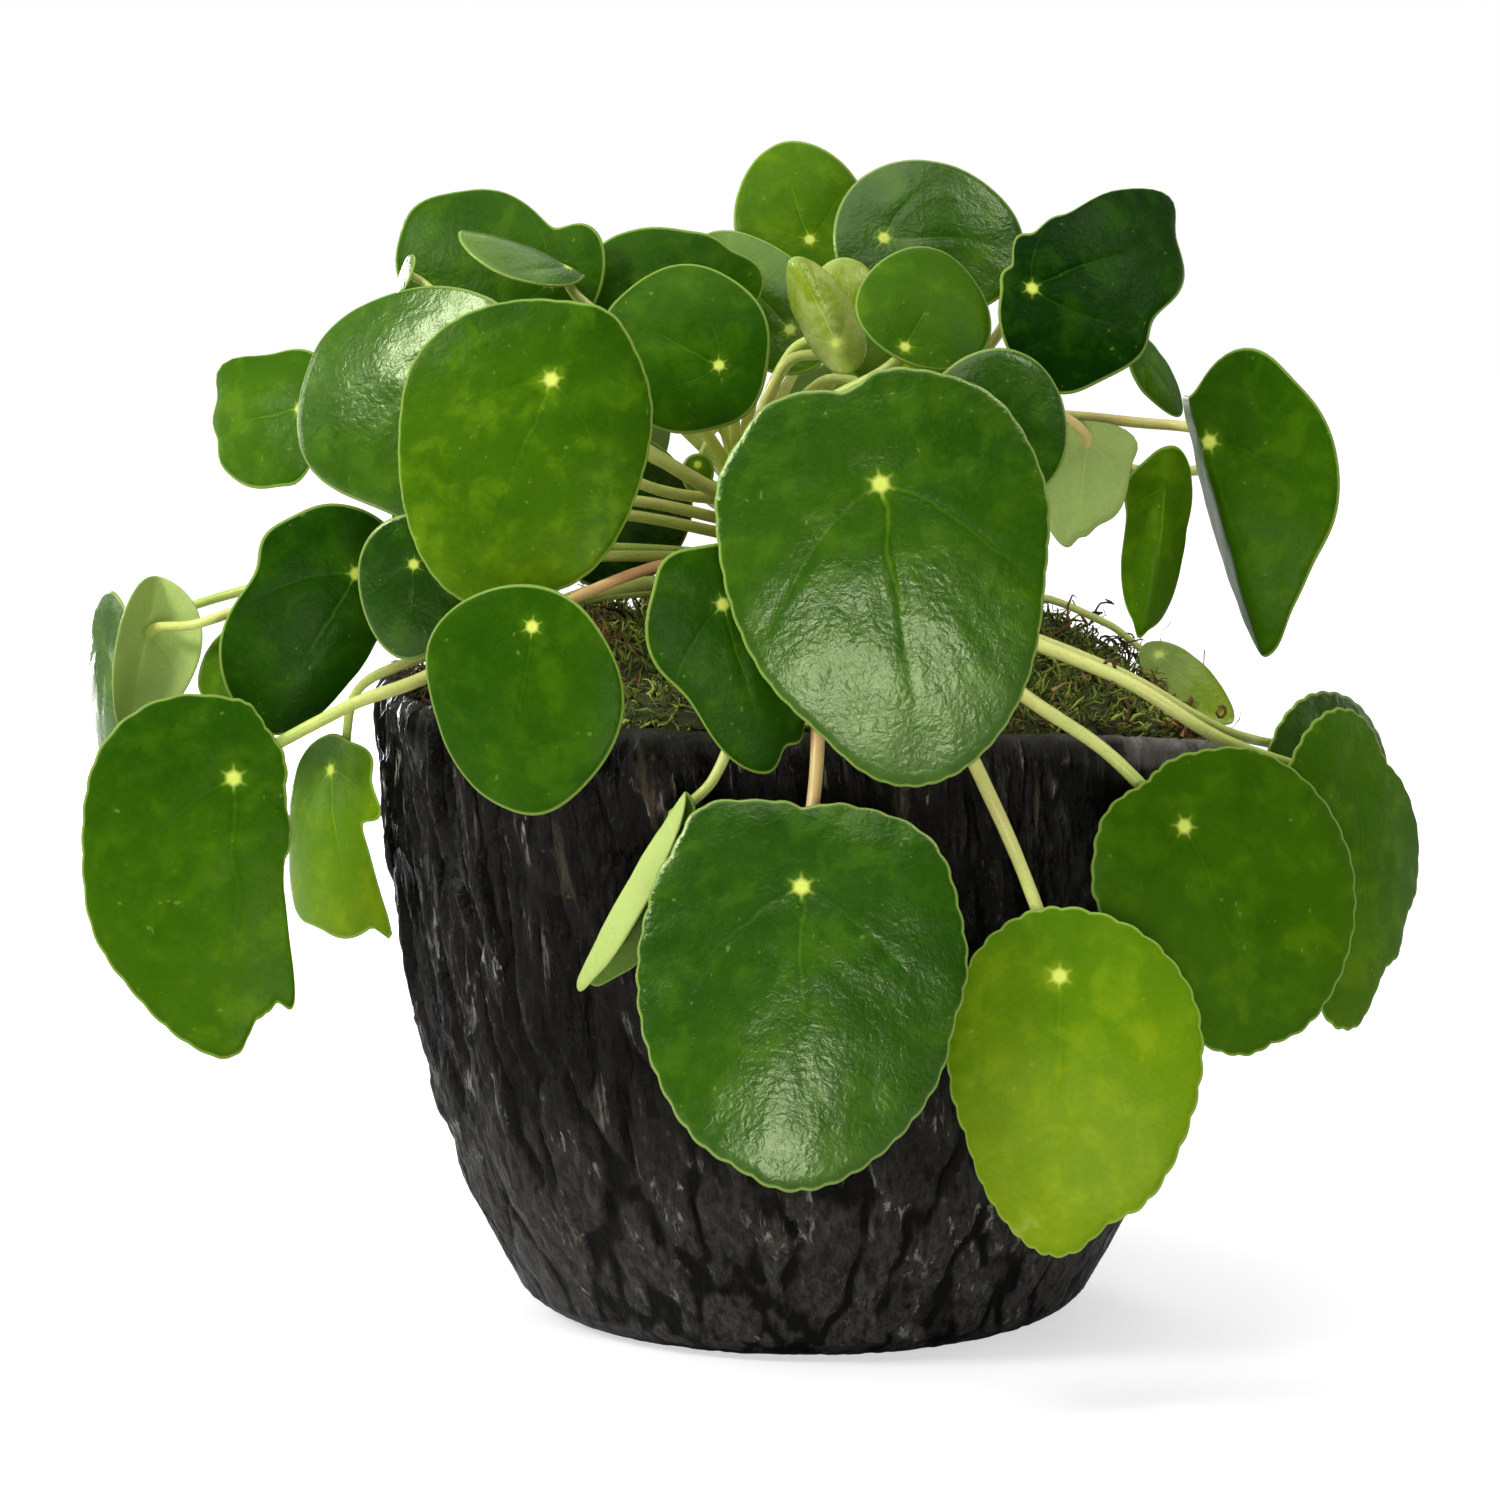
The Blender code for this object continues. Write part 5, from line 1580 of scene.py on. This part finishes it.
@dataclass
class Tangle:
    """Loose curly growth in chosen spots of the moss: brown root threads and dark twigs on the skyline.

    Each spot has its middle in millimetres, how far its threads start from it, how many there are,
    how long they are and how strongly they rise.
    """

    roots: tuple = (
        (78.0, -30.0, 135.5, 5.5, 46, 15.0, 0.0), (73.0, -14.0, 142.0, 3.5, 22, 11.0, 0.1),
        (83.0, -26.0, 133.5, 3.0, 16, 10.0, 0.0), (-86.0, -18.0, 143.0, 4.0, 16, 12.0, 0.1),
        (62.0, -56.0, 149.0, 1.6, 5, 12.0, 0.0))
    twigs: tuple = (
        (60.0, 30.0, 145.0, 8.0, 38, 17.0, 0.1), (62.0, 20.0, 143.5, 6.0, 34, 14.0, 0.08),
        (52.0, 36.0, 147.0, 6.0, 18, 17.0, 0.1), (-82.0, -8.0, 144.0, 5.0, 14, 11.0, 0.3))

    def threads(self, name: str, spots: tuple, thick: float, material: Material,
                seed: int) -> Piece:
        """Return one piece with the threads of some spots.

        Args:
            name: name of the piece.
            spots: the spots, as in the class.
            thick: radius of a thread at its foot, in millimetres.
            material: its finish.
            seed: which pattern.

        Returns:
            The finished object.
        """
        chance = np.random.default_rng(seed)
        lines = LineSet()
        for x, y, z, spread, count, length, rise in spots:
            for _ in range(count):
                place = np.array((x, y, z)) + chance.normal(size=3) * (spread, spread, 0.35 * spread)
                ahead = chance.normal(size=3) * (1.0, 1.0, 0.5) + (0.0, 0.0, rise)
                turn = chance.normal(size=3) * 0.45
                path = []
                for _ in range(14):
                    path.append(place)
                    ahead = ahead / np.linalg.norm(ahead)
                    place = place + ahead * length * chance.uniform(0.8, 1.2) / 14.0
                    turn = turn + chance.normal(size=3) * 0.22
                    ahead = ahead + np.cross(turn, ahead) + (0.0, 0.0, 0.06 * rise)
                fade = np.linspace(1.0, 0.35, len(path))
                lines.draw(np.array(path), thick=thick * chance.uniform(0.7, 1.3) * fade,
                           tint=np.full(len(path), chance.uniform(0.0, 1.0)))
        return lines.tubes(name, material, 5, 0.1, 3.0, seed)

    def build(self) -> list[Piece]:
        """Return the root threads and the twigs."""
        return [self.threads("brown_roots", self.roots, 0.42, ROOT_FINISH.material(), 5),
                self.threads("dark_twigs", self.twigs, 0.36, TWIG_FINISH.material(), 8)]


@dataclass(frozen=True)
class Lamp:
    """One soft light that faces the plant: place and width in metres, watts, and height for its width."""

    name: str
    place: Triple
    width: float
    power: float
    tall: float = 1.0

    def build(self) -> None:
        """Add the light to the scene."""
        data = bpy.data.lights.new(self.name, "AREA")
        data.shape = "RECTANGLE"
        data.size, data.size_y, data.energy = self.width, self.width * self.tall, self.power
        lamp = put(self.name, data)
        lamp.location = self.place
        ahead = Vector((0.0, 0.0, 0.14)) - Vector(self.place)
        lamp.rotation_euler = ahead.to_track_quat("-Z", "Y").to_euler()


@dataclass
class Studio:
    """Camera at the photograph's view, plain pale floor and soft light."""

    lamps: tuple[Lamp, ...] = (
        Lamp("key light", (-1.14, -0.62, 1.10), 0.4, 18.0),
        Lamp("top light", (-0.2, -0.60, 1.80), 1.6, 19.0),
        Lamp("fill light", (1.04, -0.28, 1.45), 0.4, 4.3),
        Lamp("low light", (0.06, -0.80, 0.06), 0.14, 2.4, 2.0),
        Lamp("back light", (0.0, 0.6, 1.3), 0.8, 3.0),
        Lamp("left light", (-1.2, 0.40, 0.45), 0.5, 4.0),
        Lamp("edge light", (-0.62, 1.25, 0.20), 0.4, 13.0),
        Lamp("right light", (1.2, 0.55, 0.45), 0.5, 1.2))
    target: Triple = (-12.4, 0.0, 126.0)
    distance: float = 1200.0
    elevation: float = 7.0
    lens: float = 128.0

    def camera(self) -> None:
        """Set the camera."""
        data = bpy.data.cameras.new("view")
        data.lens, data.sensor_width = self.lens, 36.0
        camera = put("view", data)
        tilt = math.radians(self.elevation)
        ahead = Vector((0.0, math.cos(tilt), -math.sin(tilt)))
        camera.location = (Vector(self.target) - ahead * self.distance) * MM
        camera.rotation_euler = ahead.to_track_quat("-Z", "Y").to_euler()
        bpy.context.scene.camera = camera

    def surroundings(self) -> None:
        """Light softly from behind and above, and show a plain white backdrop."""
        world = bpy.data.worlds.new("studio")
        world.use_nodes = True
        w = Wiring(world.node_tree)
        split = w.parts(w.add("ShaderNodeTexCoord").outputs["Generated"])
        behind = w.step(w.plus(split[1], w.times(split[2], 0.6)), -0.5, 0.9)
        soft = w.calc("MULTIPLY_ADD", behind, 0.24, 0.03)
        seen = w.add("ShaderNodeLightPath").outputs["Is Camera Ray"]
        strength = w.calc("MAXIMUM", soft, seen)
        shade = world.node_tree.nodes["Background"]
        shade.inputs["Color"].default_value = (1.0, 1.0, 1.0, 1.0)
        w.feed(shade.inputs["Strength"], strength)
        bpy.context.scene.world = world

    def build(self) -> None:
        """Set up the camera, the lights, the surroundings and the floor."""
        self.camera()
        for lamp in self.lamps:
            lamp.build()
        self.surroundings()
        bpy.context.scene.view_settings.view_transform = "Standard"
        half = 4000.0
        corners = np.array(((-half, -half, 0.0), (half, -half, 0.0), (half, half, 0.0), (-half, half, 0.0)))
        floor = make_piece("floor", corners, ((0, 1, 2, 3),), FLOOR_FINISH.material())


def main() -> None:
    """Build every piece around the frame, in order."""
    logging.basicConfig(level=logging.INFO, format="%(name)s: %(message)s")
    Studio().build()
    soil = frame["nodes"]["potting_soil"]
    soil.data.materials.clear()
    soil.data.materials.append(SOIL_FINISH.material())
    settle(BarkPot().build(), "pot")
    for piece in MossBed().build() + Tangle().build():
        settle(piece, "moss")
    for piece in Stem().build():
        settle(piece, "stem_and_petioles")
    for spec in LEAVES:
        settle(Blade(spec, LOOKS.get(spec.name, Look())).build(), spec.name)


if __name__ == "__main__":
    main()
